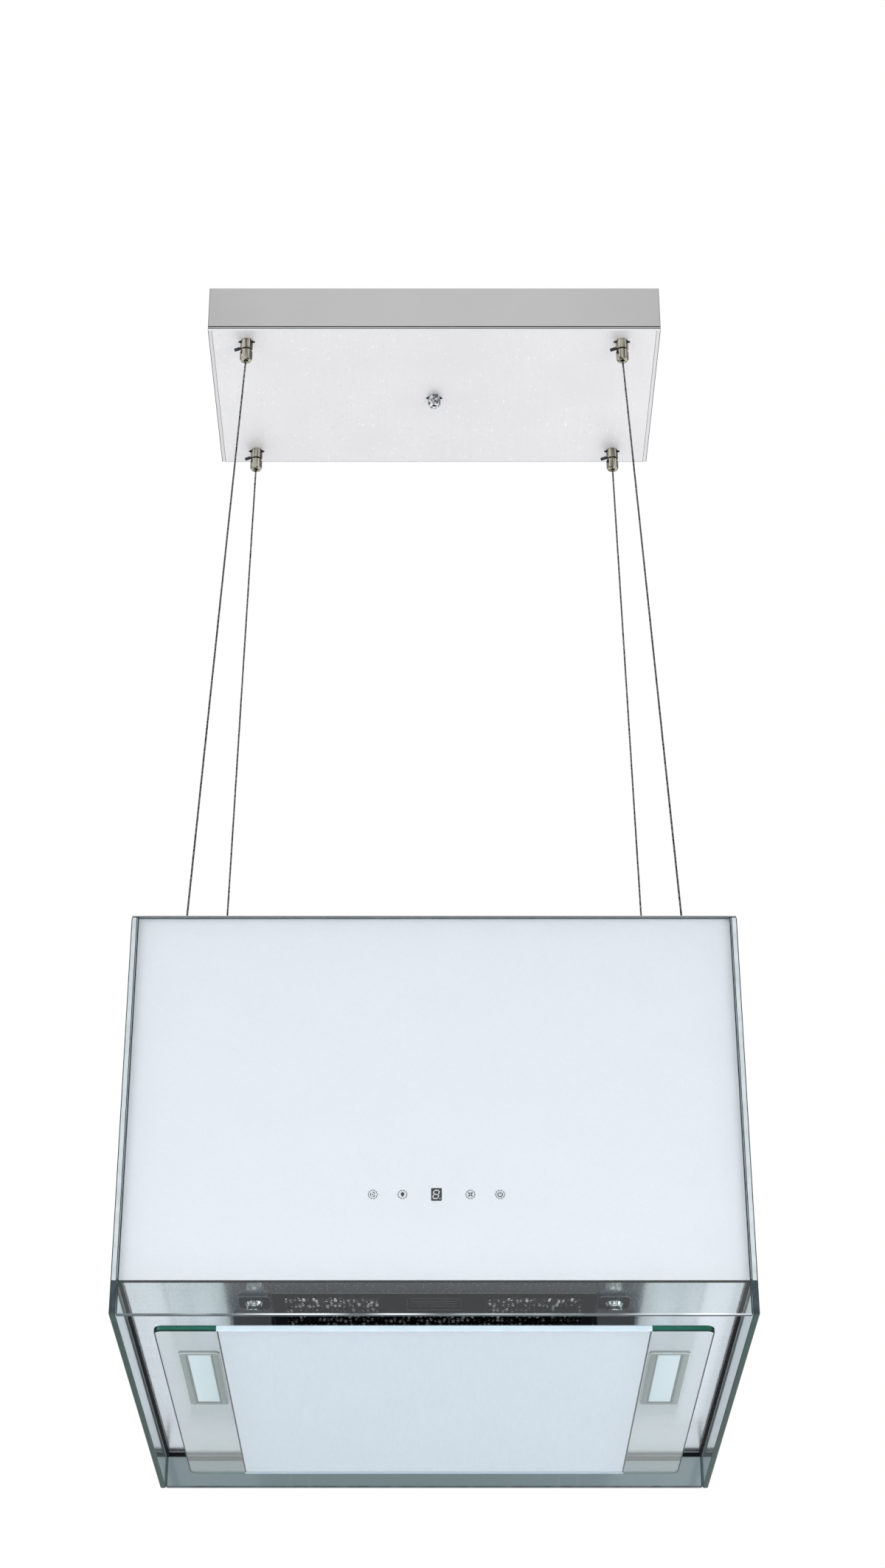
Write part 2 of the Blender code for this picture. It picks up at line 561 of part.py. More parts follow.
def build_suction_plate(finish, lift):
    """The glass plate below the filter, its two rear hinges and its two front catches."""
    swing = frame_at("suction_plate_axis", (0, HINGE_Y, height(HINGE_H)), lift)
    axis_place = (0, HINGE_Y, height(HINGE_H))
    outline = rectangle(-PLATE_W / 2, PLATE_FRONT, PLATE_W / 2, PLATE_REAR, PLATE_CORNER)
    plate = extruded("suction_plate", outline, [], height(0.0), height(GLASS_T))
    fitted(plate, finish["glass"], swing, axis_place)
    ear_t = 0.003
    for side, sign in SIDES.items():
        x = sign * HINGE_X
        place = (x, HINGE_Y, height(HINGE_H))
        seat = STEEL_H - GAP
        foot = extruded(f"hinge_bracket_{side}", centred(x, HINGE_Y, 0.040, 0.022, 0.003),
                        [], height(seat - 0.002), height(seat))
        pieces = []
        for ear_sign in (-1, 1):
            inner = x + ear_sign * (HINGE_HALF_W + GAP)
            outer = inner + ear_sign * ear_t
            ear = [(HINGE_Y - 0.0048, height(HINGE_H)), (HINGE_Y - 0.0034, height(HINGE_H - 0.0034)),
                   (HINGE_Y, height(HINGE_H - 0.0048)), (HINGE_Y + 0.0034, height(HINGE_H - 0.0034)),
                   (HINGE_Y + 0.0048, height(HINGE_H)), (HINGE_Y + 0.0080, height(seat - 0.001)),
                   (HINGE_Y - 0.0080, height(seat - 0.001))]
            pieces.append(extruded("ear", ear, [], *sorted((inner, outer)), axis="X"))
        pin = circle(HINGE_Y, height(HINGE_H), HINGE_PIN_R, 12)
        pieces.append(extruded("pin", pin, [], x - 0.0115, x + 0.0115, axis="X"))
        fitted(combined(foot, pieces), finish["galvanised"], lift, place)

        bore = circle(HINGE_Y, height(HINGE_H), HINGE_PIN_R + GAP, 12)
        leaf = extruded(f"hinge_leaf_{side}", circle(HINGE_Y, height(HINGE_H), HINGE_KNUCKLE_R, 12),
                        [bore], x - HINGE_HALF_W, x + HINGE_HALF_W, axis="X")
        arm = [(HINGE_Y - 0.0070, height(GLASS_T + 0.0008)), (HINGE_Y - 0.0028, height(HINGE_H - 0.0025)),
               (HINGE_Y - 0.0033, height(HINGE_H + 0.0022)), (HINGE_Y - 0.0130, height(GLASS_T + 0.0008))]
        web = extruded("web", arm, [], x - HINGE_HALF_W, x + HINGE_HALF_W, axis="X")
        pad = extruded("pad", centred(x, HINGE_Y - 0.019, 0.036, 0.030, 0.004), [],
                       height(GLASS_T + GAP), height(GLASS_T + 0.0020))
        fitted(combined(leaf, [web, pad]), finish["galvanised"], swing, place)

    for side, sign in SIDES.items():
        x = sign * CATCH_X
        seat = STEEL_H - GAP
        base = extruded(f"catch_knob_{side}", centred(x, CATCH_Y, 0.030, 0.032, 0.006),
                        [], height(seat - CATCH_BASE_T), height(seat))
        knob = turned("knob", [
            (0.0, seat - 0.0025), (0.0100, seat - 0.0025), (0.0109, seat - 0.0040),
            (0.0090, seat - 0.0075), (0.0095, seat - 0.0110), (0.0109, seat - 0.0135),
            (0.0100, seat - 0.0150), (0.0042, seat - 0.0150), (0.0040, seat - 0.0185),
            (0.0028, seat - 0.0200), (0.0, seat - 0.0200)], (x, CATCH_Y, GLASS_Z), 16)
        fitted(combined(base, [knob]), finish["chrome"], lift, (x, CATCH_Y, height(seat)))
        socket = extruded(f"catch_socket_{side}", centred(x, CATCH_Y, 0.037, 0.040, 0.004),
                          [], height(GLASS_T + GAP), height(GLASS_T + 0.0145))
        well = extruded("cut", circle(x, CATCH_Y, CATCH_WELL_R, 12), [], height(GLASS_T + 0.0095),
                        height(GLASS_T + 0.03))
        fitted(combined(socket, [well], "DIFFERENCE"), finish["plastic"], swing, axis_place)


def scroll_path(wall, first):
    """The scroll's wall, offset outwards by wall, from angle first round to the outlet side."""
    steps = 20
    path = []
    for i in range(steps + 1):
        turn = first + (2 * math.pi - first) * i / steps
        share = (turn - TONGUE) / (2 * math.pi - TONGUE)
        radius = SCROLL_MIN + (SCROLL_MAX - SCROLL_MIN) * share + wall
        path.append((FAN_X + radius * math.cos(turn), height(FAN_H) + radius * math.sin(turn)))
    return path


def build_blower(finish, lift):
    """Double-inlet scroll, its motor, impeller and the charcoal filter on each inlet."""
    wall = BLOWER_SHEET
    head = height(BODY_TOP - 0.0045)
    inner = scroll_path(0.0, TONGUE)
    tongue_x = inner[0][0]
    outer_start = math.acos((tongue_x - wall - FAN_X) / (SCROLL_MIN + wall))
    outer = scroll_path(wall, outer_start)
    half = FAN_HALF_DEPTH
    strip = [(tongue_x - wall, head), *outer, (outer[-1][0], head),
             (inner[-1][0], head), *reversed(inner), (tongue_x, head)]
    plate = [(tongue_x - wall, head), *outer, (outer[-1][0], head)]
    inlet = circle(FAN_X, height(FAN_H), INLET_R, 24)
    housing = extruded("blower_housing", strip, [], -half, half, axis="Y", smooth=True)
    covers = [extruded("side", plate, [inlet], *sorted((sign * half, sign * (half - wall))), axis="Y")
              for sign in ENDS.values()]
    flange = rectangle(tongue_x - 0.015, -half - 0.010, outer[-1][0] + 0.012, half + 0.010)
    throat = rectangle(tongue_x, wall - half, inner[-1][0], half - wall)
    covers.append(extruded("flange", flange, [throat], head - wall, head))
    fitted(combined(housing, covers), finish["galvanised"], lift, (FAN_X, 0, height(FAN_H)))

    axis_place = (FAN_X, 0, height(FAN_H))
    spin = frame_at("impeller_axis", axis_place, lift)
    disc = turned("impeller", [(0.0045, -0.006), (0.0045, 0.010), (0.014, 0.010), (0.014, 0.002),
                               (IMPELLER_R, 0.002), (IMPELLER_R, 0.0),
                               (0.014, 0.0), (0.014, -0.006)], axis_place, 36, axis="Y")
    ring_in, span = IMPELLER_R - BLADE_DEPTH, SPAN
    parts = []
    for low, high in ((-span, 0.003 - span), (span - 0.003, span)):
        ring = circle(FAN_X, height(FAN_H), IMPELLER_R, 36)
        hole = circle(FAN_X, height(FAN_H), ring_in, 36)
        parts.append(extruded("ring", ring, [hole], low, high, axis="Y"))
    for i in range(BLADES):
        turn = 2 * math.pi * i / BLADES
        blade = []
        for radius, lean in ((ring_in + 0.002, 0.0), (IMPELLER_R - 0.0015, 0.09),
                             (IMPELLER_R - 0.0015, 0.11), (ring_in + 0.002, 0.02)):
            blade.append((FAN_X + radius * math.cos(turn + lean),
                          height(FAN_H) + radius * math.sin(turn + lean)))
        parts.append(extruded("blade", blade, [], 0.0015 - span, span - 0.0015, axis="Y"))
    fitted(combined(disc, parts, solver="MANIFOLD"), finish["plastic"], spin, axis_place)

    motor = turned("fan_motor", [(0.0, -0.063), (0.030, -0.063), (0.042, -0.058), (0.042, -0.018),
                                 (0.036, -0.012), (0.012, -0.010), (0.0041, -0.010),
                                 (0.0041, 0.016), (0.0, 0.016)], axis_place, 24, axis="Y")
    arms = []
    for i in range(3):
        arm = extruded("arm", centred(0.055, 0.0, 0.050, 0.014), [], -0.0635, -0.0615, axis="Y")
        turn = Matrix.Rotation(math.radians(30 + 120 * i), 4, "Y")
        arm.data.transform(Matrix.Translation(axis_place) @ turn)
        arms.append(arm)
    fitted(combined(motor, arms), finish["galvanised"], lift, axis_place)

    for end, sign in ENDS.items():
        depths = (0.0665, 0.0980) if end == "front" else (half + GAP, 0.0920)
        near, far = (sign * d for d in depths)
        rim = 0.004 * sign
        cassette = turned(f"charcoal_filter_{end}", [
            (0.0, near), (0.080, near), (0.084, near + rim), (0.084, far - rim), (0.080, far),
            (0.070, far), (0.068, far - rim), (0.022, far - rim), (0.018, far), (0.0, far)],
            axis_place, 24, axis="Y")
        fitted(cassette, finish["carbon"], lift, (FAN_X, near, height(FAN_H)))


def build_controls(finish, lift):
    """Control electronics in the casing, and the touch board behind the front glass."""
    box_x, box_y = 0.190, 0.190
    box = extruded("electronics_box", centred(box_x, box_y, 0.150, 0.080, 0.006), [],
                   height(0.300), height(0.360))
    vents = [extruded("cut", centred(box_x + 0.012 * i, box_y, 0.004, 0.050), [], height(0.355), height(0.37))
             for i in range(-4, 5)]
    fitted(combined(box, vents, "DIFFERENCE"), finish["plastic"], lift, (box_x, box_y, height(0.300)))
    back = -BODY_D / 2 + GLASS_T + GAP
    board = extruded("touch_board", centred(0, height(BOARD_H), 0.180, 0.032, 0.002), [],
                     back + 0.004, back + 0.0056, axis="Y")
    display = extruded("display", centred(0, height(BOARD_H), 0.0145, 0.0205), [],
                       back, back + 0.005, axis="Y")
    keys = [extruded("key", circle(x, height(BOARD_H), KEY_R), [], back, back + 0.005, axis="Y")
            for x in KEYS_X]
    fitted(combined(board, [display, *keys]), finish["board"], lift, (0, back, height(BOARD_H)))


def main():
    clear_scene()
    finish = make_finishes()
    root = frame_at("ceiling", (0, 0, 0))
    lift = frame_at("hood_body", (0, 0, height(BODY_H)), root)
    build_ceiling_bracket(finish, root)
    build_ceiling_cover(finish, root)
    build_suspension(finish, root, lift)
    build_glass(finish, lift)
    build_chassis(finish, lift)
    build_filter(finish, lift)
    build_lamps(finish, lift)
    build_suction_plate(finish, lift)
    build_blower(finish, lift)
    build_controls(finish, lift)


main()
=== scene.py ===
from math import atan2, cos, degrees, pi, radians, sin, sqrt, tan

import bmesh
import bpy
from mathutils import Matrix, Vector
from mathutils.geometry import tessellate_polygon


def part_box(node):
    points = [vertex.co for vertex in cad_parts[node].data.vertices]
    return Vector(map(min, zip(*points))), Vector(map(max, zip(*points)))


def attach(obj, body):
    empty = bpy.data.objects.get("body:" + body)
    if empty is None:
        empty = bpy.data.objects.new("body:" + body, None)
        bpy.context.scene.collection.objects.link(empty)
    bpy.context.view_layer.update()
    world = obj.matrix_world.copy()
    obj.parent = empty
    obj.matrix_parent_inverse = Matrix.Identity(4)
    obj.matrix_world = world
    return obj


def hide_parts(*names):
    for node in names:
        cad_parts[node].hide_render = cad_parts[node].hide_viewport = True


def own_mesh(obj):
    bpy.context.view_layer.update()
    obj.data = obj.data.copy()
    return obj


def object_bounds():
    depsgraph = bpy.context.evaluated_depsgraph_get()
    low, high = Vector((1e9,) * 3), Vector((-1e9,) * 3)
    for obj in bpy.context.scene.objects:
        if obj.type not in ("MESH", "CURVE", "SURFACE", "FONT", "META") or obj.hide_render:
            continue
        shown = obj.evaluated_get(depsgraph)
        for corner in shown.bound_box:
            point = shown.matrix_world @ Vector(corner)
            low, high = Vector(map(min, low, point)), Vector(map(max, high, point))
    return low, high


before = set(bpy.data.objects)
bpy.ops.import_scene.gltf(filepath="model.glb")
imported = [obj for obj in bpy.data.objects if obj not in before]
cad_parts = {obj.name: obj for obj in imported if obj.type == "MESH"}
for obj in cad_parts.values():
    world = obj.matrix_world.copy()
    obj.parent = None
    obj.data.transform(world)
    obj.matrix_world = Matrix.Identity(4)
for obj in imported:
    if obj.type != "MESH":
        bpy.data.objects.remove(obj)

# The looks of an island range hood that hangs on four wire ropes. Metres, +Z up, and -Y is the front
# with the touch controls. Every place is read from the CAD boxes.

cad_low, cad_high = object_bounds()

SIDES = (("left", -1), ("right", 1))
ENDS = (("front", -1), ("rear", 1))
CORNERS = [f"{end}_{side}" for end, _ in ENDS for side, _ in SIDES]
X, Y, Z = 0, 1, 2
COS_30 = cos(radians(30))


def linked(name, data):
    """A new object in the scene."""
    made = bpy.data.objects.new(name, data)
    bpy.context.collection.objects.link(made)
    return made


# ---------------- camera, light and stage

def make_camera():
    """The view that a perspective fit on the outlines of the glass body gave."""
    data = bpy.data.cameras.new("camera")
    data.lens, data.shift_x, data.shift_y = 63.42, 0.00527, 0.088
    camera = linked("camera", data)
    camera.location = (0.0, -2.687, -2.231)
    camera.rotation_euler = (radians(118.15), 0.0, 0.0)
    bpy.context.scene.camera = camera


def area_light(name, place, target, size, power, through_glass=True):
    """A soft lamp that neither the camera nor a mirror sees."""
    data = bpy.data.lights.new(name, "AREA")
    data.size, data.energy = size, power
    light = linked(name, data)
    light.location = place
    light.rotation_euler = (Vector(target) - Vector(place)).to_track_quat("-Z", "Y").to_euler()
    light.visible_camera = False
    light.visible_glossy = False
    light.visible_transmission = through_glass


def make_world():
    """A white backdrop for the camera, and a soft room for everything that is lit or mirrored."""
    world = bpy.data.worlds.new("studio")
    bpy.context.scene.world = world
    world.use_nodes = True
    tree = world.node_tree
    tree.nodes.clear()
    toward = add(tree, "SeparateXYZ", add(tree, "TexCoord", out="Generated")).node.outputs

    def rising(value, start, end):
        return add(tree, "MapRange", value, start, end, interpolation_type="SMOOTHSTEP")

    def product(first, second):
        return add(tree, "Math", first, second, operation="MULTIPLY")

    # The room's light from straight down to straight up: height, level and how much cooler than white.
    room = add(tree, "ValToRGB", add(tree, "MapRange", toward["Z"], -1.0))
    levels = ((-1.0, 0.88, 0.01), (-0.62, 0.92, 0.01), (-0.42, 0.64, 0.03), (-0.28, 0.57, 0.04),
              (0.0, 0.56, 0.03), (0.64, 0.64, 0.01), (1.0, 0.5, 0.01))
    elements = room.node.color_ramp.elements
    for index, (z, level, cool) in enumerate(levels):
        element = elements[index] if index < 2 else elements.new(1.0)
        element.position = (z + 1.0) / 2.0
        element.color = ((1.0 - 1.4 * cool) * level, level, (1.0 + cool) * level, 1.0)

    # Dark cards high up at both sides, and a grey wall behind the hood.
    sideways = add(tree, "Math", toward["X"], operation="ABSOLUTE")
    card = product(rising(sideways, 0.3, 0.5), rising(toward["Z"], 0.35, 0.6))
    wall = product(rising(toward["Y"], 0.55, 0.85), rising(toward["Z"], 0.02, 0.18))
    carded = blended(card, room, (0.07, 0.07, 0.07, 1.0))
    walled = blended(wall, carded, (0.166, 0.205, 0.223, 1.0))

    gain = product(rising(toward["Y"], 0.5, 0.7), rising(toward["X"], 0.0, 0.14))
    strength = add(tree, "MapRange", gain, To_Min=1.25, To_Max=1.5)
    lit = add(tree, "Background", walled, strength)
    seen = add(tree, "Background", (1.0, 1.0, 1.0, 1.0))
    output = tree.nodes.new("ShaderNodeOutputWorld")
    fill(output, add(tree, "MixShader", add(tree, "LightPath", out="Is Camera Ray"), lit, seen))
    bpy.context.scene.view_settings.view_transform = "Standard"


def make_stage():
    """A pale floor well below the hood, and the soft lamps."""
    reach, level = 30.0, cad_low.z - 3.65
    mesh = bpy.data.meshes.new("floor")
    mesh.from_pydata([(-reach, -reach, level), (reach, -reach, level), (reach, reach, level),
                      (-reach, reach, level)], [], [(0, 1, 2, 3)])
    floor = linked("floor", mesh)
    paint = mottled("floor_paint", (228, 229, 230), (234, 235, 236), 1.5, (0.6, 0.7),
                    Emission_Color=linear(226, 227, 228), Emission_Strength=0.5)
    mesh.materials.append(paint)
    floor.visible_glossy = False
    floor.visible_diffuse = False
    middle = (0.0, 0.0, -1.1)
    area_light("key", (-2.6, -2.6, 0.2), middle, 2.2, 32.0)
    area_light("fill", (2.4, -2.4, -2.2), middle, 2.0, 26.0)
    area_light("under", (0.0, -0.6, -3.0), (0.0, 0.0, -1.3), 1.8, 20.0)
    area_light("back", (0.8, 3.0, 0.6), middle, 2.0, 16.0, False)


# ---------------- finishes

def linear(red, green, blue):
    """Linear light of a colour given as display values from 0 to 255."""
    shares = [value / 255.0 for value in (red, green, blue)]
    return (*[s / 12.92 if s <= 0.04045 else ((s + 0.055) / 1.055) ** 2.4 for s in shares], 1.0)


def scaled(colour, factor):
    return (*[value * factor for value in colour[:3]], 1.0)


def feed(socket, value):
    """Links an input to an output, or sets its value."""
    if isinstance(value, bpy.types.NodeSocket):
        socket.id_data.links.new(value, socket)
    else:
        socket.default_value = value


def fill(node, *inputs, **named):
    """Feeds a node's inputs, in order or by name; names in small letters are its settings."""
    for key, value in [*enumerate(inputs), *named.items()]:
        if isinstance(key, str) and key.islower():
            setattr(node, key, value)
        else:
            feed(node.inputs[key.replace("_", " ") if isinstance(key, str) else key], value)
    return node


def add(tree, kind, *inputs, out=0, **named):
    """An output of a new node."""
    return fill(tree.nodes.new("ShaderNode" + kind), *inputs, **named).outputs[out]


def blended(factor, first, second):
    """A colour between two, each a fixed colour or a socket."""
    mixed = add(factor.id_data, "Mix", factor, out=2, data_type="RGBA")
    feed(mixed.node.inputs[6], first)
    feed(mixed.node.inputs[7], second)
    return mixed


def ranged(value, low, high, start=0.3, end=0.7):
    """value from start to end, mapped to low to high."""
    return add(value.id_data, "MapRange", value, start, end, low, high)


def noise_of(tree, stretch, detail=2.0, shift=0.0):
    """Noise whose features are 1/stretch metres long along each axis of the piece."""
    scale = stretch if isinstance(stretch, (list, tuple)) else (stretch,) * 3
    place = add(tree, "Mapping", add(tree, "TexCoord", out="Object"), (shift,) * 3, Scale=scale)
    return add(tree, "TexNoise", place, Scale=1.0, Detail=detail)


def raised(shader, value, strength, distance):
    fill(shader, Normal=add(value.id_data, "Bump", Strength=strength, Distance=distance, Height=value))


def principled(name, **values):
    """A new material and its shader, with the values that are the same all over it."""
    made = bpy.data.materials.new(name)
    made.use_nodes = True
    return made, fill(made.node_tree.nodes["Principled BSDF"], **values)


def toned(shader, share, dark, light, gloss):
    fill(shader, Base_Color=blended(share, linear(*dark), linear(*light)), Roughness=gloss)


def brushed(name, colour, along, roughness=(0.15, 0.27), flecks=0.5, lines=0.1, bump=0.1, metallic=1.0,
            dash=(240.0, 1440.0), matt=0.3):
    """Brushed stainless steel: fine lines along one axis, with short bright and dark flecks."""
    made, shader = principled(name, Metallic=metallic)
    tree, base = made.node_tree, linear(*colour)
    stretch, spots = [900.0] * 3, [dash[1]] * 3
    stretch[along], spots[along] = 9.0, dash[0]
    grain = noise_of(tree, stretch, 3.0)
    cloud = noise_of(tree, 11.0, 2.0, 3.1)
    fleck = noise_of(tree, spots, 1.0, 5.7)
    body = scaled(base, 1.0 - lines)
    for share, tone in ((ranged(grain, 0.0, 1.0), 1.0 + lines),
                        (ranged(fleck, 0.0, flecks, 0.68, 0.78), 1.45),
                        (ranged(fleck, flecks * 0.5, 0.0, 0.24, 0.32), 0.62),
                        (ranged(cloud, 0.0, 0.5), 0.93)):
        body = blended(share, body, scaled(base, tone))
    gloss = add(tree, "Math", ranged(grain, *roughness), ranged(fleck, roughness[0], matt, 0.66, 0.74),
                operation="MAXIMUM")
    fill(shader, Base_Color=body, Roughness=gloss)
    raised(shader, grain, bump, 0.00012)
    return made


def mottled(name, dark, light, stretch, roughness, bump=0.0, distance=0.0003, metallic=0.0, detail=3.0,
            spread=0.2, **values):
    """A plain finish whose colour and gloss vary over the piece; a small spread parts dark from light."""
    made, shader = principled(name, Metallic=metallic, **values)
    value = noise_of(made.node_tree, stretch, detail)
    toned(shader, ranged(value, 0.0, 1.0, 0.5 - spread, 0.5 + spread), dark, light,
          ranged(value, *roughness))
    if bump:
        raised(shader, value, bump, distance)
    return made


def spangled(name, dark, light):
    """Galvanised sheet with its zinc spangle."""
    made, shader = principled(name, Metallic=1.0)
    tree = made.node_tree
    cells = add(tree, "TexVoronoi", add(tree, "TexCoord", out="Object"), out="Color", Scale=130.0)
    value = add(tree, "RGBToBW", cells)
    toned(shader, ranged(value, 0.0, 1.0, 0.1, 0.9), dark, light, ranged(value, 0.35, 0.55, 0.1, 0.9))
    raised(shader, noise_of(tree, 160.0), 0.05, 0.0003)
    return made


def clear_glass(name, tint, roughness=(0.0, 0.012)):
    """Glass that lamps shine through; smears change its gloss a little."""
    made, shader = principled(name, IOR=1.5, Transmission_Weight=1.0)
    tree, colour = made.node_tree, linear(*tint)
    smear = noise_of(tree, (14.0, 14.0, 30.0), 3.0)
    fill(shader, Base_Color=blended(ranged(smear, 0.0, 1.0), colour, scaled(colour, 0.985)),
         Roughness=ranged(smear, *roughness, 0.55, 0.8))
    for_lamps = add(tree, "LightPath", out="Is Shadow Ray")
    mixed = add(tree, "MixShader", for_lamps, shader.outputs["BSDF"], add(tree, "BsdfTransparent"))
    fill(tree.nodes["Material Output"], mixed)
    return made


def sparkling(name, dark, light, cells):
    """Bright glints in rows on dark metal; cells is how many there are per metre along each axis."""
    made, shader = principled(name, Metallic=0.1)
    tree = made.node_tree
    place = add(tree, "Mapping", add(tree, "TexCoord", out="Object"), Scale=cells)
    spots = add(tree, "TexVoronoi", place, Scale=1.0, Randomness=0.5)
    toned(shader, ranged(spots, 1.0, 0.0, 0.34, 0.44), dark, light, ranged(spots, 0.2, 0.36, 0.2, 0.6))
    return made


def woven(name, dark, light):
    """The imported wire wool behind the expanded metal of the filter."""
    made, shader = principled(name, Metallic=0.85)
    tree, long, short = made.node_tree, 300.0, 2200.0
    first, second = noise_of(tree, (short, long, long)), noise_of(tree, (long, short, long), 2.0, 2.0)
    value = add(tree, "Math", first, second, operation="MAXIMUM")
    toned(shader, ranged(value, 0.0, 1.0, 0.5, 0.75), dark, light, ranged(value, 0.35, 0.55))
    raised(shader, value, 0.8, 0.001)
    return made


FINISH = {
    "cover_under": brushed("cover_underside_steel", (242, 240, 241), Y, (0.5, 0.6), 0.55, 0.02, 0.03, 0.5,
        (190.0, 360.0)),
    "cover_side": brushed("cover_side_steel", (222, 220, 219), X, (0.3, 0.36), 0.25, 0.015, 0.02),
    # Painted highlight on the cover's front and back rim.
    "cover_rim": mottled("rim_steel_painted_highlight", (240, 240, 241), (246, 246, 247), 200.0, (0.4, 0.5),
        metallic=0.5),
    # Painted shade in the cover's grooves and on its side rims.
    "shadow_gap": mottled("cover_shadow_gap", (88, 90, 94), (108, 110, 114), (14.0, 14.0, 400.0), (0.5,
        0.6)),
    "base": brushed("base_panel_steel", (238, 243, 250), X, (0.17, 0.25), 1.0, 0.04, 0.06, 0.9, (420.0,
        1000.0), 0.55),
    "top": brushed("top_panel_steel", (205, 205, 207), X, (0.2, 0.32), 0.4, 0.07),
    "glass": clear_glass("clear_glass", (248, 252, 250)),
    "glass_plate": clear_glass("plate_glass", (235, 241, 240)),
    "edge_dark": mottled("glass_edge_dark", (18, 54, 44), (32, 68, 58), 60.0, (0.2, 0.3),
        Specular_IOR_Level=0.12),
    "edge_line": mottled("plate_arris_line", (16, 30, 28), (30, 46, 42), 90.0, (0.3, 0.4),
        Specular_IOR_Level=0.1),
    "edge_front": mottled("glass_edge_front", (50, 60, 64), (74, 86, 90), 90.0, (0.15, 0.25),
        Specular_IOR_Level=0.2),
    # Painted highlight: the near-white band along the print's lower edge.
    "edge_painted_highlight": mottled("painted_arris_highlight", (236, 241, 244), (244, 248, 250), 200.0, (0.2, 0.3)),
    "edge_glint": mottled("glass_edge_glint", (96, 104, 108), (226, 232, 235), (16.0, 1.0, 1.0), (0.2, 0.3),
        Specular_IOR_Level=0.2, detail=1.0, spread=0.14),
    "edge_light": mottled("glass_edge_printed", (196, 205, 208), (214, 223, 226), 80.0, (0.08, 0.16),
        Coat_Weight=0.6),
    "edge_green": mottled("glass_edge_green", (14, 84, 68), (40, 112, 96), (30.0, 30.0, 500.0), (0.12, 0.22),
        Specular_IOR_Level=0.3),
    "edge_fold": mottled("plate_arris_printed", (184, 196, 207), (194, 206, 217), 60.0, (0.3, 0.4),
        Specular_IOR_Level=0.2),
    "edge_plate": mottled("plate_edge_printed", (214, 232, 245), (224, 240, 250), 60.0, (0.1, 0.2),
        Coat_Weight=0.4),
    "print": mottled("white_print", (232, 234, 240), (235, 237, 243), 500.0, (0.5, 0.6), 0.02, 0.0001),
    "print_plate": mottled("plate_print", (213, 220, 229), (217, 224, 233), (420.0, 60.0, 420.0), (0.5, 0.6),
        0.02, 0.0001),
    "backing": mottled("dark_print_backing", (70, 84, 96), (82, 97, 109), 300.0, (0.45, 0.6), 0.05),
    "ink": mottled("icon_ink", (22, 24, 27), (36, 39, 43), 900.0, (0.4, 0.5)),
    "display": mottled("display_window", (20, 23, 25), (34, 38, 41), 300.0, (0.12, 0.2)),
    "digit": mottled("display_segments", (200, 204, 204), (222, 225, 224), 900.0, (0.3, 0.4)),
    # Nickel plating; its vertical dark and light streaks are painted reflections.
    "nickel": mottled("nickel_with_painted_reflections", (112, 110, 98), (192, 189, 172), (330.0, 330.0, 24.0), (0.12, 0.22),
        0.04, 0.0002, 1.0, 1.0, 0.1),
    # Painted highlight for the hexagon corners of the grippers.
    "nickel_edge": mottled("painted_highlight_nickel", (226, 224, 210), (238, 236, 224), 300.0, (0.2, 0.3), metallic=0.6),
    # Painted shade for the gripper facets that look to the right, with the same painted reflection streaks
    # as the nickel.
    "nickel_shade": mottled("painted_shade_nickel", (66, 64, 56), (112, 109, 98), (330.0, 330.0, 24.0), (0.14,
        0.24), 0.04, 0.0002, 1.0, 1.0, 0.12),
    "screw": mottled("blued_screw", (62, 65, 70), (82, 85, 90), 600.0, (0.3, 0.45), 0.05, 0.0002, 1.0),
    "chrome": mottled("chrome_plating", (112, 117, 120), (238, 240, 240), (420.0, 420.0, 160.0), (0.04,
        0.1), metallic=1.0, detail=1.0, spread=0.09),
    "rope": mottled("rope_wire", (30, 31, 33), (176, 174, 172), (900.0, 900.0, 420.0), (0.18, 0.36), 0.25,
        0.0002, 1.0, 2.0, 0.07),
    "lamp": mottled("lamp_frame_metal", (110, 126, 126), (124, 140, 140), 260.0, (0.35, 0.45), 0.06, 0.0002,
        0.6),
    # Painted highlight on the lamp frame's rims that face down.
    "lamp_line": mottled("lamp_rim_painted_highlight", (206, 214, 216), (226, 233, 235), 200.0, (0.25, 0.35),
        metallic=0.3),
    "lens": mottled("frosted_lens", (224, 243, 255), (234, 248, 255), (900.0, 120.0, 900.0), (0.28, 0.4),
        0.15, 0.0002, Coat_Weight=0.3),
    "filter": mottled("filter_steel", (62, 70, 78), (70, 79, 87), (60.0, 700.0, 700.0), (0.3, 0.4), 0.02,
        0.0001, 1.0),
    # Painted highlight on the downward rims of the filter frame, the latch and the catch bases.
    "filter_line": mottled("filter_rim_painted_highlight", (196, 200, 202), (224, 228, 230), (420.0, 60.0, 60.0), (0.25,
        0.35), metallic=0.3),
    "mesh": sparkling("expanded_metal", (8, 9, 10), (252, 254, 255), (232.0, 78.0, 232.0)),
    "wool": woven("wire_wool", (10, 11, 12), (46, 49, 52)),
    "latch": mottled("latch_plastic", (76, 85, 91), (84, 93, 99), 500.0, (0.3, 0.4), 0.02, 0.0001, 1.0),
    "rubber": mottled("black_seal", (14, 15, 17), (24, 26, 28), 300.0, (0.6, 0.8), 0.1,
        Specular_IOR_Level=0.1),
    "plastic": mottled("dark_plastic", (40, 42, 46), (50, 53, 57), 900.0, (0.38, 0.5), 0.12, 0.0002),
    "zinc": spangled("galvanised_sheet", (142, 146, 148), (178, 181, 183)),
    "carbon": mottled("charcoal_granules", (18, 18, 18), (60, 60, 60), 420.0, (0.6, 0.9), 0.9, 0.0015),
    "board": mottled("circuit_board", (10, 70, 38), (18, 92, 52), 260.0, (0.35, 0.5), 0.1, 0.0002),
}


# ---------------- shape helpers

def box_of(node):
    """A CAD node's lowest and highest corner, its middle and its half size."""
    low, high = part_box(node)
    return low, high, (low + high) / 2, (high - low) / 2


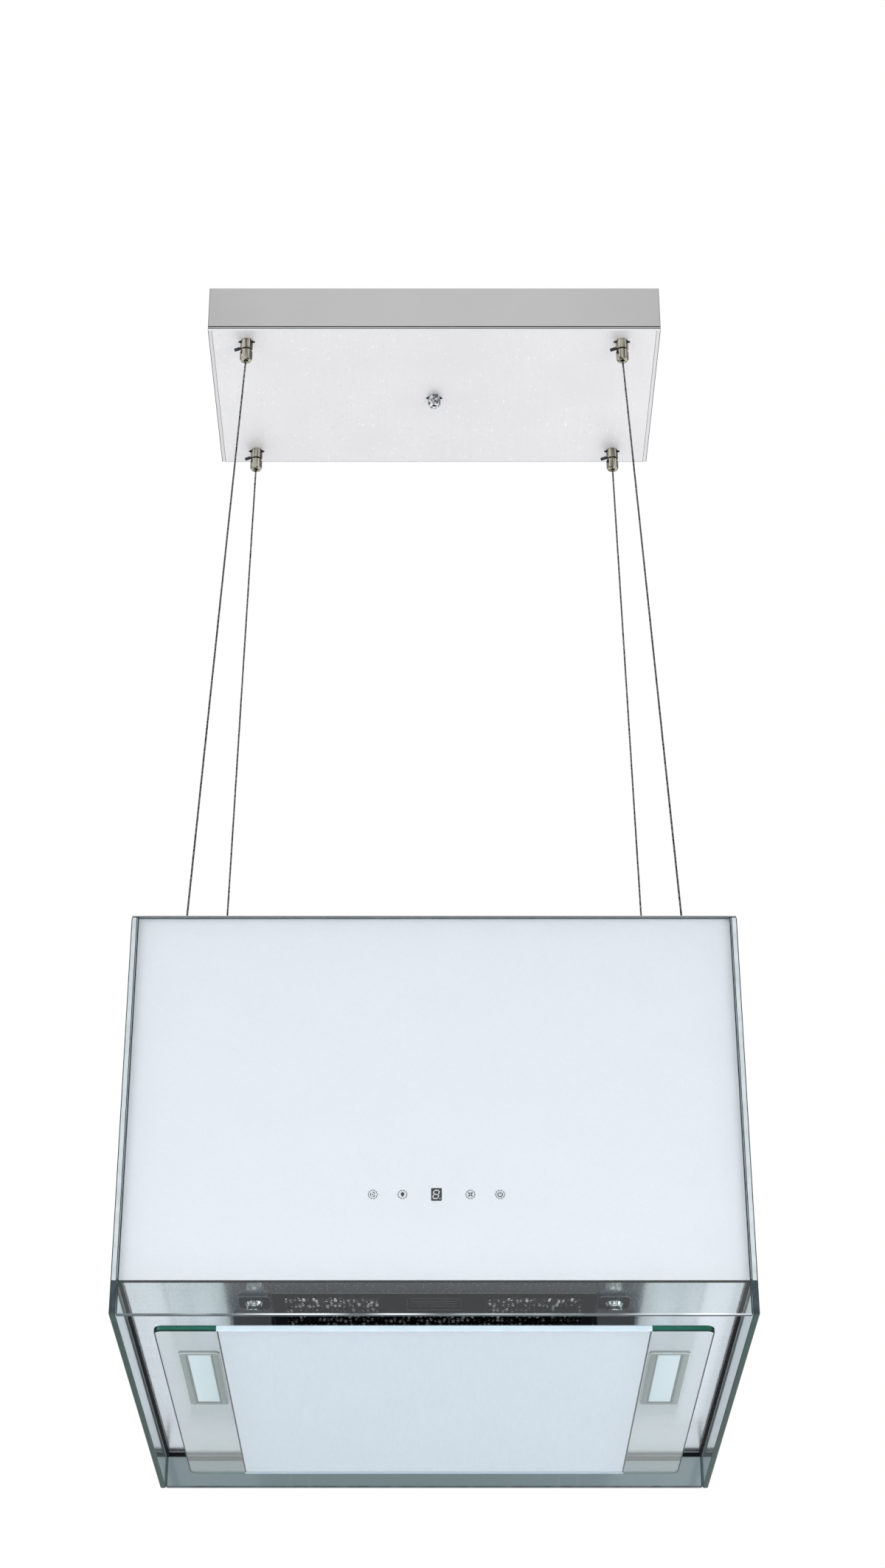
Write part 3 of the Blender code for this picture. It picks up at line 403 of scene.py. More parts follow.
def rectangle(x0, y0, x1, y1, corner=0.0, steps=8):
    """A closed outline, anticlockwise, with round corners where corner is given."""
    if corner == 0.0:
        return [(x0, y0), (x1, y0), (x1, y1), (x0, y1)]
    centres = ((x1 - corner, y0 + corner), (x1 - corner, y1 - corner),
               (x0 + corner, y1 - corner), (x0 + corner, y0 + corner))
    return [point for quarter, (cx, cy) in enumerate(centres)
            for point in arc(cx, cy, corner, 90 * (quarter - 1), 90 * quarter, steps)]


def centred(cx, cy, width, depth, corner=0.0, steps=8):
    return rectangle(cx - width / 2, cy - depth / 2, cx + width / 2, cy + depth / 2, corner, steps)


def arc(cx, cy, radius, start, end, steps=8):
    turns = [radians(start + (end - start) * i / steps) for i in range(steps + 1)]
    return [(cx + radius * cos(t), cy + radius * sin(t)) for t in turns]


def circle(cx, cy, radius, steps=48):
    return arc(cx, cy, radius, 0, 360, steps)[:-1]


def on_axis(axis, a, b, c):
    """World point of (a, b) in the outline's plane and c along the axis."""
    return {X: (c, a, b), Y: (a, c, b), Z: (a, b, c)}[axis]


def object_of(name, points, faces, angle=32.0):
    mesh = bpy.data.meshes.new(name)
    mesh.from_pydata(points, [], faces)
    work = bmesh.new()
    work.from_mesh(mesh)
    bmesh.ops.recalc_face_normals(work, faces=work.faces)
    work.to_mesh(mesh)
    work.free()
    mesh.shade_smooth()
    mesh.set_sharp_from_angle(angle=radians(angle))
    return linked(name, mesh)


def softened(made, width, segments=2):
    """Rounds every edge sharper than 40 degrees, and keeps the flat faces flat in the shading."""
    if not width:
        return made
    work = bmesh.new()
    work.from_mesh(made.data)
    work.normal_update()
    sharp = [e for e in work.edges if e.is_manifold and e.calc_face_angle(0.0) > radians(40)]
    bmesh.ops.bevel(work, geom=sharp, offset=width, segments=segments, profile=0.5, affect="EDGES",
                    clamp_overlap=True)
    work.to_mesh(made.data)
    work.free()
    made.data.shade_smooth()
    made.data.set_sharp_from_angle(angle=radians(50))
    made.modifiers.new("weighted", "WEIGHTED_NORMAL").keep_sharp = True
    return made


def caps_of(loops, *starts):
    """Triangles that fill flat loops, once for each number that their points may start from."""
    flat = tessellate_polygon([[Vector((a, b, 0)) for a, b in loop] for loop in loops])
    return [tuple(start + i for i in triangle) for start in starts for triangle in flat]


def wall_of(loop, start, count):
    """Faces between a loop and the same loop on the layer that lies count points later."""
    ring = range(start, start + len(loop))
    return [(a, b, b + count, a + count) for a, b in zip(ring, [*ring[1:], start])]


def extruded(name, outer, holes, low, high, axis=Z, rim=0.0, segments=2):
    """A flat outline with holes, extruded along the axis, with its rims rounded by rim."""
    loops = [outer, *holes]
    flat = [point for loop in loops for point in loop]
    faces, start = caps_of(loops, 0, len(flat)), 0
    for loop in loops:
        faces += wall_of(loop, start, len(flat))
        start += len(loop)
    points = [on_axis(axis, a, b, c) for c in (low, high) for a, b in flat]
    return softened(object_of(name, points, faces), rim, segments)


def stamped(name, outlines, low, high, axis=Y):
    """Several flat outlines, each extruded a little, in one piece."""
    points, faces = [], []
    for outline in outlines:
        start, count = len(points), len(outline)
        points += [on_axis(axis, a, b, c) for c in (low, high) for a, b in outline]
        faces += caps_of([outline], start, start + count) + wall_of(outline, start, count)
    return object_of(name, points, faces)


def recessed(name, outer, pockets, low, high, depth, rim):
    """A block whose lower face has blind pockets of a depth."""
    loops = [outer, *pockets]
    flat = [point for loop in loops for point in loop]
    count = len(flat)
    points = [(a, b, low) for a, b in flat]
    points += [(a, b, high if i < len(outer) else low + depth) for i, (a, b) in enumerate(flat)]
    faces, start = caps_of(loops, 0) + caps_of([outer], count), 0
    for loop in loops:
        faces += wall_of(loop, start, count)
        if start:
            faces.append(tuple(start + count + i for i in range(len(loop))))
        start += len(loop)
    return softened(object_of(name, points, faces), rim)


def skin_of(rings):
    """Faces between neighbouring rings of points, and from the last ring back to the first."""
    faces = []
    for this, other in zip(rings, rings[1:] + rings[:1]):
        for i in range(len(this)):
            j = (i + 1) % len(this)
            corners = tuple(dict.fromkeys((this[i], this[j], other[j], other[i])))
            if len(corners) > 2:
                faces.append(corners)
    return faces


def turned(name, profile, centre, sides=48, axis=Z, flutes=0, depth=0.0, angle=32.0):
    """A closed profile of (radius, position[, limit]) turned about an axis through centre.

    A row with a limit is a hexagon: radius is half its width across flats, limit cuts its corners.
    """
    rings, points = [], []
    for radius, position, *limit in profile:
        if radius == 0.0:
            rings.append([len(points)] * sides)
            points.append(on_axis(axis, 0.0, 0.0, position))
            continue
        rings.append(list(range(len(points), len(points) + sides)))
        for i in range(sides):
            turn = 2 * pi * i / sides
            reach = radius
            if limit:
                reach = min(radius / cos(turn % radians(60) - radians(30)), limit[0])
            elif flutes:
                reach = radius * (1.0 - depth * max(0.0, cos(flutes * turn)))
            points.append(on_axis(axis, reach * cos(turn), reach * sin(turn), position))
    moved = [tuple(a + b for a, b in zip(point, centre)) for point in points]
    return object_of(name, moved, skin_of(rings), angle)


def framed(name, cx, cy, rows, corner, steps=6):
    """A ring of rounded rectangles: rows of (half width, half depth, z) round a closed section."""
    points = []
    for half_x, half_y, z in rows:
        radius = max(corner - (rows[0][0] - half_x), 0.0004)
        outline = rectangle(-half_x, -half_y, half_x, half_y, radius, steps)
        points += [(cx + a, cy + b, z) for a, b in outline]
    count = 4 * (steps + 1)
    rings = [range(row * count, (row + 1) * count) for row in range(len(rows))]
    return object_of(name, points, skin_of(rings))


def placed(piece, keys, body, slot, *nodes):
    """Gives a piece its finishes and its body, and hides the CAD nodes that it stands for; slot is not used.
    """
    for key in keys.split():
        piece.data.materials.append(FINISH[key])
    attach(piece, body)
    if nodes:
        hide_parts(*nodes)


# ---------------- ceiling group

def hexagon_hole(middle, apothem, reach, half_ear, half_tip):
    """A hexagon hole, its corners at the left and right drawn out to small tapered notches."""
    corner = apothem / COS_30
    shoulder, root = reach - 0.6 * half_tip, corner - half_ear * tan(radians(30))
    right = [(corner / 2, -apothem), (root, -half_ear), (shoulder, -half_tip), (reach, 0.0),
             (shoulder, half_tip), (root, half_ear), (corner / 2, apothem)]
    return [(middle[0] + way * a, middle[1] + way * b) for way in (1, -1) for a, b in right]


def make_cover():
    """Folded cover: walls with two grooves painted dark as shade, a lower rim painted bright as a highlight
    at the front and back and grey as shade at the sides, and the underside inside it.
    """
    low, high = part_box("ceiling_cover")
    wall, rim, slit, lip, groove = 0.0012, 0.0014, 0.0008, 0.0019, 0.0019
    slit_in, groove_in, chamfer = 0.001, 0.0016, 0.0009
    lip_x, lip_y, seam_x, seam_y = 0.0045, 0.0012, 0.0004, 0.0003
    slit_low = low.z + rim
    lip_low = slit_low + slit
    groove_low = lip_low + lip
    groove_high = groove_low + groove
    inside = groove_in + wall
    insets = [(0.0, 0.0, high.z), (0.0, 0.0, groove_high), (groove_in, groove_in, groove_high),
              (groove_in, groove_in, groove_low), (0.0, 0.0, groove_low), (0.0, 0.0, lip_low),
              (slit_in, slit_in, lip_low), (slit_in, slit_in, slit_low), (0.0, 0.0, slit_low),
              (0.0, 0.0, low.z + chamfer), (chamfer, chamfer, low.z), (lip_x, lip_y, low.z),
              (lip_x, lip_y, groove_high), (inside, inside, groove_high + wall), (inside, inside, high.z)]
    rows = [(high.x - in_x, high.y - in_y, z) for in_x, in_y, z in insets]
    shell = framed("cover_walls", 0.0, 0.0, rows, 0.0008, 3)
    # shaded is the painted shade, bright the painted highlight: groove faces and side rims are painted as
    # shade, front and back rims as highlight.
    shaded, bright = 1, 2
    for polygon in shell.data.polygons:
        at = polygon.center
        deep = abs(at.x) < high.x - 0.0004 and abs(at.y) < high.y - 0.0004
        if deep and slit_low - 0.0001 < at.z < groove_high + 0.0001:
            polygon.material_index = shaded
        elif at.z < slit_low and abs(at.y) > high.y - chamfer:
            polygon.material_index = bright
        elif at.z < slit_low and abs(at.x) > high.x - chamfer:
            polygon.material_index = shaded
    placed(shell, "cover_side shadow_gap cover_rim", "ceiling", "stainless", "ceiling_cover")

    holes = []
    for name in CORNERS:
        _, _, middle, half = box_of(f"release_sleeve_{name}")
        holes.append(hexagon_hole(middle, half.y + 0.0004, half.x + 0.0027, 0.0026, 0.0015))
    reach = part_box("supply_gland")[1].x
    holes.append(hexagon_hole((0.0, 0.0), 0.9 * reach + 0.0004, reach + 0.0024, 0.0026, 0.0016))
    edge_x, edge_y = high.x - lip_x - seam_x, high.y - lip_y - seam_y
    plate = extruded("cover_underside", rectangle(-edge_x, -edge_y, edge_x, edge_y, 0.0006, 3), holes,
                     low.z + 0.0001, low.z + 0.0013, Z, 0.00022)
    placed(plate, "cover_under", "ceiling", "stainless")


def make_gland():
    """Cord gland: a short hexagon base and a cap nut with flats and a chamfered end."""
    low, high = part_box("supply_gland")
    cover_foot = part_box("ceiling_cover")[0].z
    reach, stem, bore, end_r = high.x, 0.006, 0.0019, 0.0052
    flat, seat, base_foot = reach * 0.9, cover_foot + 0.004, cover_foot - 0.0036
    base = turned("gland_base", [
        (stem, high.z), (stem, seat), (flat, seat, reach), (flat, base_foot + 0.0006, reach),
        (flat * 0.96, base_foot), (bore, base_foot), (bore, high.z)], (0, 0, 0), 96)
    placed(base, "chrome", "ceiling", "chrome", "supply_gland")
    top = base_foot - 0.0001
    rows = [(0.005, top), (reach * 0.95, top), (reach, top - 0.0008), (reach, low.z + 0.0036),
            (reach - 0.0004, low.z + 0.0028), (end_r + 0.0008, low.z + 0.0003), (end_r, low.z),
            (bore + 0.0008, low.z), (bore, low.z + 0.0008), (bore, top)]
    nut = turned("gland_nut", rows, (0, 0, 0), 96, Z, 10, 0.07)
    placed(nut, "chrome", "ceiling", "chrome")


def hex_rows(apothem, top, foot, chamfer=0.0009):
    """A hexagon bar's rows from top to foot, its corners turned off at both ends."""
    corner = apothem / COS_30 * 0.995
    return [(apothem, top, apothem * 1.015), (apothem, top - chamfer, corner),
            (apothem, foot + chamfer, corner), (apothem, foot, apothem * 1.015)]


def shade_facets(piece, x, y):
    """Corners painted bright as highlights, and the facets that look to the right painted darker as shade.
    """
    for polygon in piece.data.polygons:
        normal, at = polygon.normal, polygon.center
        if abs(normal.z) > 0.5:
            continue
        out = degrees(atan2(at.y - y, at.x - x)) % 60.0
        # Index 1 is the painted highlight on the corners, index 2 the painted shade on right-facing facets.
        if min(out, 60.0 - out) < 3.9:
            polygon.material_index = 1
        elif normal.x > 0.3:
            polygon.material_index = 2


def make_grippers():
    """Each cable gripper: hexagon body with its neck, the sprung sleeve below it and the lock screw."""
    # Nickel, with its corners painted as highlights and its right-facing facets painted as shade.
    plating, sides = "nickel nickel_edge nickel_shade", 96
    for name in CORNERS:
        low, high, _, half = box_of(f"gripper_{name}")
        sleeve_low, sleeve_high, middle, _ = box_of(f"release_sleeve_{name}")
        x, y, apothem = middle.x, middle.y, half.y
        seat, waist, neck, bore = high.z - 0.012, low.z + 0.008, 0.0045, 0.0022
        body = turned(f"gripper_barrel_{name}", [
            (0.005, high.z), (0.005, seat), *hex_rows(apothem, seat, waist, 0.0005), (0.0058, waist),
            (neck, waist - 0.0004), (neck, low.z), (bore, low.z), (bore, high.z)],
            (x, y, 0), sides, angle=20.0)
        shade_facets(body, x, y)
        placed(body, plating, "ceiling", "nickel", f"gripper_{name}")

        end, shoulder, pocket = sleeve_low.z, sleeve_low.z + 0.0036, sleeve_high.z - 0.0084
        rows = hex_rows(apothem, sleeve_high.z, shoulder, 0.0005)[:2]
        corner = rows[1][2]
        rows.append((apothem, shoulder, corner))
        for step in range(1, 6):
            turn = radians(15 * step)
            reach = corner - (corner - 0.0046) * (1 - cos(turn)) - 0.0004 * step / 5
            rows.append((min(apothem, reach), shoulder - 0.0034 * sin(turn), reach))
        rows += [(0.0042, end), (0.003, end), (0.0023, end + 0.0012), (bore, pocket), (0.0049, pocket),
                 (0.0049, sleeve_high.z)]
        sleeve = turned(f"sleeve_{name}", rows, (x, y, 0), sides, angle=20.0)
        shade_facets(sleeve, x, y)
        placed(sleeve, plating, f"release_sleeve_{name}", "nickel", f"release_sleeve_{name}")

        low, high, _, half = box_of(f"lock_screw_{name}")
        radius, tilt, buried = half.y, radians(23), 0.0012
        length = 2 * (half.x - radius * sin(tilt)) / cos(tilt)
        rows = [(0.0, buried), (radius, buried), (radius, 0.0004 - length), (radius * 0.86, -length),
                (0.001, -length), (0.0009, 0.0014 - length), (0.0, 0.0014 - length)]
        screw = turned(f"grub_screw_{name}", rows, (0, 0, 0), 32, X)
        start = Vector((high.x - radius * sin(tilt), y, high.z - radius * cos(tilt)))
        screw.data.transform(Matrix.Translation(start) @ Matrix.Rotation(-tilt, 4, "Y"))
        placed(screw, "screw", "ceiling", "nickel", f"lock_screw_{name}")


def make_anchors():
    """The ropes' fittings on the top panel: a round collar, a hexagon and a bore for the rope."""
    for name in CORNERS:
        low, high, middle, _ = box_of(f"cable_anchor_{name}")
        seat = high.z - 0.02
        rows = [(0.004, low.z), (0.004, seat), (0.0086, seat), (0.009, seat + 0.0006),
                (0.009, seat + 0.0032), (0.0084, seat + 0.004), (0.0076, seat + 0.0041),
                *reversed(hex_rows(0.0072, high.z - 0.0036, seat + 0.0042)),
                (0.005, high.z), (0.0036, high.z), (0.0028, high.z - 0.0012), (0.0027, low.z)]
        anchor = turned(f"anchor_{name}", rows, (middle.x, middle.y, 0))
        placed(anchor, "nickel", "hood_body", "nickel", f"cable_anchor_{name}")


def make_rope(name):
    """Six strands laid round a core, along the straight line between the two fittings."""
    low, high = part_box(f"cable_{name}")
    radius, strands, sides, pitch, step = 0.0011, 6, 6, 0.011, 0.0011
    sleeve, anchor = box_of(f"release_sleeve_{name}")[2], box_of(f"cable_anchor_{name}")[2]
    top = Vector((sleeve.x, sleeve.y, high.z - 0.0001))
    foot = Vector((anchor.x, anchor.y, low.z + 0.0002))
    along = foot - top
    ahead = along.normalized()
    across = ahead.cross(Vector((0, 1, 0))).normalized()
    over = ahead.cross(across)
    rings = round(along.length / step)
    strand_r = radius / 3
    orbit = radius - strand_r
    points, faces = [], []

    def out_to(middle, turn, reach):
        return middle + (across * cos(turn) + over * sin(turn)) * reach

    for strand in range(strands + 1):
        start = len(points)
        for ring in range(rings + 1):
            share = ring / rings
            turn = 2 * pi * (share * along.length / pitch + strand / strands)
            middle = top + along * share
            if strand < strands:
                middle = out_to(middle, turn, orbit)
            points += [out_to(middle, turn + 2 * pi * i / sides, strand_r) for i in range(sides)]
        for ring in range(rings):
            faces += wall_of(range(sides), start + ring * sides, sides)
        faces += [tuple(range(end, end + sides)) for end in (start, start + rings * sides)]
    rope = object_of(f"wire_rope_{name}", points, faces, 70.0)
    placed(rope, "rope", "ceiling", "wire_rope", f"cable_{name}")
    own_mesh(rope)


# ---------------- glass body

def cut(work, place, normal):
    """Splits every face of a mesh along a plane."""
    bmesh.ops.bisect_plane(work, geom=[*work.verts, *work.edges, *work.faces], plane_co=place,
                           plane_no=normal)


def make_panel(name, node, thin, sign, clear_z):
    """A glass panel with arrissed edges, and its white print on the inner side above the clear band."""
    low, high, middle, half = box_of(node)
    work = bmesh.new()
    bmesh.ops.create_cube(work, size=2.0)
    for vertex in work.verts:
        vertex.co = [middle[i] + vertex.co[i] * half[i] for i in range(3)]
    bmesh.ops.bevel(work, geom=work.edges[:], offset=0.001, segments=1, affect="EDGES")
    cut(work, (0, 0, clear_z), (0, 0, 1))
    bmesh.ops.recalc_face_normals(work, faces=work.faces)
    clear, dark, front, printed, glint = range(5)
    for face in work.faces:
        normal = face.normal
        ahead, below = normal.y < -0.6, thin == Y and normal.z < -0.6
        if abs(normal[thin]) > 0.9:
            face.material_index = clear
        elif face.calc_center_median().z >= clear_z and max(abs(v) for v in normal) > 0.9:
            face.material_index = printed
        elif sign < 0 and ahead and below:
            face.material_index = glint
        else:
            face.material_index = front if ahead or below else dark
    mesh = bpy.data.meshes.new(name)
    work.to_mesh(mesh)
    work.free()
    placed(linked(name, mesh), "glass edge_dark edge_front edge_light edge_glint", "hood_body",
           "printed_glass", node)

    inset, sunk = 0.0008, 0.00015
    inner = low[thin] if sign > 0 else high[thin]
    wide = X if thin == Y else Y
    # Above the clear band: a thin dark band, a near-white band painted as the highlight of a polished arris,
    # and the print.
    levels = (clear_z, clear_z + 0.0014, clear_z + 0.0022, high.z - inset)
    for part, key, foot, head in zip(("border", "margin", "print"), ("ink", "edge_painted_highlight", "print"),
                                     levels, levels[1:]):
        outline = rectangle(low[wide] + inset, foot, high[wide] - inset, head)
        sheet = extruded(f"{name}_{part}", outline, [], inner - sunk, inner + sunk, thin)
        placed(sheet, key, "hood_body", "printed_glass")


def make_glass():
    clear_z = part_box("perimeter_seal")[0].z
    for thin, places in ((Y, ENDS), (X, SIDES)):
        for place, sign in places:
            make_panel(f"{place}_glass", f"glass_{place}", thin, sign, clear_z)


def make_seal():
    """The black strip round the base panel, with the panel's folded steel edge above it."""
    low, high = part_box("perimeter_seal")
    width, fold = 0.0026, low.z + 0.0044
    for name, foot, head, key, slot, nodes in (
            ("seal_strip", low.z, fold, "rubber", "seal", ["perimeter_seal"]),
            ("base_fold", fold, high.z, "base", "stainless", [])):
        rows = [(high.x - inset, high.y - inset, z)
                for inset, z in ((0.0, foot), (width, foot), (width, head), (0.0, head))]
        placed(framed(name, 0.0, 0.0, rows, 0.0024, 3), key, "hood_body", slot, *nodes)


def stroke(points, width):
    """The outline of a line of a width through a list of points."""
    left, right = [], []
    for i, (a, b) in enumerate(points):
        before, after = points[max(i - 1, 0)], points[min(i + 1, len(points) - 1)]
        run = Vector((after[0] - before[0], after[1] - before[1])).normalized() * width / 2
        left.append((a - run.y, b + run.x))
        right.append((a + run.y, b - run.x))
    return left + right[::-1]


def icon_outlines(kind):
    """A ring of dashes with a plain symbol in it; metres from the icon's middle."""
    line, ring = 0.00086, 0.0042
    marks = [stroke(arc(0, 0, ring, 36 * k - 12, 36 * k + 12), line * 0.85) for k in range(10)]
    if kind == "speed":
        marks += [stroke(arc(0, 0, 0.0021, 120 * k + 25, 120 * k + 95), line) for k in range(3)]
        marks.append(circle(0, 0, 0.0006, 12))
    elif kind == "lamp":
        marks.append([*arc(0, 0.0006, 0.0017, -30, 210), (-0.001, -0.0014), (0.001, -0.0014)])
        marks.append(stroke([(-0.0007, -0.0019), (0.0007, -0.0019)], line * 0.8))
    elif kind == "fan":
        for k in range(4):
            turn = radians(90 * k + 40)
            tip = (0.0027 * cos(turn), 0.0027 * sin(turn))
            root = (0.0008 * cos(turn + 0.7), 0.0008 * sin(turn + 0.7))
            marks.append(stroke([root, tip], line * 1.3))
    else:
        marks.append(stroke(arc(0, 0, 0.0022, 125, 415, 16), line))
        marks.append(stroke([(0, 0.0004), (0, 0.0026)], line))
    return marks


def make_controls():
    """Touch symbols and the number display, printed on the back of the front glass."""
    row_x, row_z = 0.0021, box_of("touch_board")[2].z + 0.0004
    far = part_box("glass_front")[1].y - 0.00025
    near = far - 0.00015

    def moved(outlines, x=0.0):
        return [[(row_x + x + a, row_z + b) for a, b in outline] for outline in outlines]

    icons = ((-0.06, "speed"), (-0.032, "lamp"), (0.032, "fan"), (0.06, "power"))
    marks = [mark for x, kind in icons for mark in moved(icon_outlines(kind), x)]
    placed(stamped("touch_symbols", marks, near, far), "ink", "hood_body", "printed_glass")
    window = stamped("display_window", moved([centred(0, 0, 0.01, 0.0128, 0.0008)]), near, far)
    placed(window, "display", "hood_body", "dark_plastic")

    half_w, half_h, line, lean = 0.0025, 0.0041, 0.0011, 0.16
    gap = line * 0.35
    end_x, end_z, top = half_w - gap, gap + line / 4, half_h - gap - line / 4
    bars = [stroke([(-end_x, level), (end_x, level)], line) for level in (-half_h, 0.0, half_h)]
    bars += [stroke([(x, foot), (x, head)], line) for x in (-half_w, half_w)
             for foot, head in ((-top, -end_z), (end_z, top))]
    slanted = [[(a + lean * b - 0.0004, b) for a, b in bar] for bar in bars]
    slanted.append(circle(0.0033, -half_h - 0.0001, 0.00055, 16))
    digit = stamped("display_digit", moved(slanted), near - 0.00015, near - 0.00005)
    placed(digit, "digit", "hood_body", "dark_plastic")


def make_suction_plate():
    """Glass plate with a white print over its middle, backed dark, and clear at both ends."""
    low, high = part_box("suction_plate")
    half_print, corner = 0.204, 0.008
    plate = extruded("plate_glass", rectangle(low.x, low.y, high.x, high.y, corner, 10), [], low.z, high.z)
    work = bmesh.new()
    work.from_mesh(plate.data)
    rims = [e for e in work.edges if e.is_manifold and e.calc_face_angle(0.0) > radians(60)]
    bmesh.ops.bevel(work, geom=rims, offset=0.001, segments=1, affect="EDGES")
    bmesh.ops.dissolve_limit(work, angle_limit=radians(0.5), verts=work.verts, edges=work.edges,
                             delimit={"NORMAL"})
    for x in (-half_print, half_print):
        cut(work, (x, 0, 0), (1, 0, 0))
    bmesh.ops.recalc_face_normals(work, faces=work.faces)
    green, painted, line, fold = range(1, 5)
    for face in work.faces:
        printed = abs(face.calc_center_median().x) < half_print
        below = -0.9 < face.normal.z < -0.3
        if abs(face.normal.x) > 0.6 or (below and not printed):
            face.material_index = line
        elif below:
            face.material_index = fold
        elif abs(face.normal.z) <= 0.9:
            face.material_index = painted if printed else green
    work.to_mesh(plate.data)
    work.free()
    plate.data.set_sharp_from_angle(angle=radians(30))
    placed(plate, "glass_plate edge_green edge_plate edge_line edge_fold", "suction_plate", "printed_glass",
           "suction_plate")

    inset, line = 0.0013, 0.0015
    near, far = high.z - 0.00015, high.z + 0.00018
    front, rear = low.y + inset, high.y - inset
    edge_x, edge_y = half_print - line, rear - line
    border = [rectangle(-half_print, front, -edge_x, rear), rectangle(edge_x, front, half_print, rear),
              rectangle(-edge_x, edge_y, edge_x, rear)]
    placed(stamped("plate_border", border, near, far, Z), "ink", "suction_plate", "printed_glass")
    sheet = extruded("plate_print", rectangle(-edge_x, front, edge_x, edge_y), [], near, far)
    for polygon in sheet.data.polygons:
        polygon.material_index = 1 if polygon.normal.z > 0.5 else 0
    placed(sheet, "print_plate backing", "suction_plate", "printed_glass")


def make_catches():
    """Fluted chrome catch knobs on their base plates, and the sockets on the glass plate."""
    for side, _ in SIDES:
        low, high, middle, half = box_of(f"catch_knob_{side}")
        x, y, foot = middle.x, middle.y, high.z - 0.0024
        base = extruded(f"catch_base_{side}", centred(x, y, 2 * half.x, 2 * half.y, 0.006), [],
                        high.z - 0.003, high.z, Z, 0.0007, 3)
        paint_rim_highlights(base)
        placed(base, "filter filter_line", "hood_body", "chrome")
        grip = [(0.0, 0.0), (0.0078, 0.0), (0.0085, 0.0006), (0.0088, 0.0014), (0.0085, 0.0026),
                (0.0077, 0.004), (0.0074, 0.0056), (0.0077, 0.0076), (0.0085, 0.0096), (0.0089, 0.0108),
                (0.0087, 0.012), (0.008, 0.0126), (0.0056, 0.0127), (0.0043, 0.0124), (0.004, 0.016),
                (0.003, 0.0176)]
        rows = [*((radius, foot - drop) for radius, drop in grip), (0.0012, low.z), (0.0, low.z)]
        knob = turned(f"catch_grip_{side}", rows, (x, y, 0), 96, Z, 12, 0.05)
        placed(knob, "chrome", "hood_body", "chrome", f"catch_knob_{side}")

        low, high, _, half = box_of(f"catch_socket_{side}")
        lid = extruded(f"catch_housing_{side}", centred(x, y, 2 * half.x, 2 * half.y, 0.004),
                       [circle(x, y, 0.005, 32)], low.z + 0.009, high.z, Z, 0.0007, 3)
        placed(lid, "plastic", "suction_plate", "dark_plastic", f"catch_socket_{side}")
        outline = centred(x, y, 2 * half.x - 0.001, 2 * half.y - 0.001, 0.0036)
        foot = extruded(f"catch_foot_{side}", outline, [], low.z, low.z + 0.0088, Z, 0.0005)
        placed(foot, "plastic", "suction_plate", "dark_plastic")


# ---------------- underside

def expanded_sheet(name, x0, y0, x1, y1, inside, pitch, low, high):
    """Staggered meshes pressed into a sheet: each strand slopes from its low rim up to its hole."""
    rise, radius = pitch * COS_30, pitch / sqrt(3)
    open_share, squeeze = 0.7, 0.9
    known, points, faces = {}, [], []

    def index_of(a, b, level):
        key = (round(a * 2e5), round(b * 2e5))
        if key not in known:
            known[key] = len(points)
            points.append((a, b, level))
        return known[key]

    for row in range(int((y1 - y0) / rise) + 2):
        for column in range(int((x1 - x0) / pitch) + 2):
            cx, cy = x0 + pitch * (column + 0.5 * (row % 2)), y0 + rise * row
            if not inside(cx, cy):
                continue
            rim, hole = [], []
            for k in range(6):
                turn = radians(60 * k + 30)
                a, b = radius * cos(turn), radius * sin(turn)
                rim.append(index_of(cx + a, cy + b, low))
                hole.append(index_of(cx + open_share * a, cy + open_share * squeeze * b, high))
            faces += [(rim[k], rim[(k + 1) % 6], hole[(k + 1) % 6], hole[k]) for k in range(6)]
    mesh = bpy.data.meshes.new(name)
    mesh.from_pydata(points, [], faces)
    made = linked(name, mesh)
    thick = made.modifiers.new("thickness", "SOLIDIFY")
    thick.thickness = 0.0003
    thick.offset = -1.0
    return made


def paint_rim_highlights(piece):
    """Gives the rounded rims that face the cook the second finish of the piece: a painted highlight."""
    for polygon in piece.data.polygons:
        if -0.97 < polygon.normal.z < -0.15:
            polygon.material_index = 1


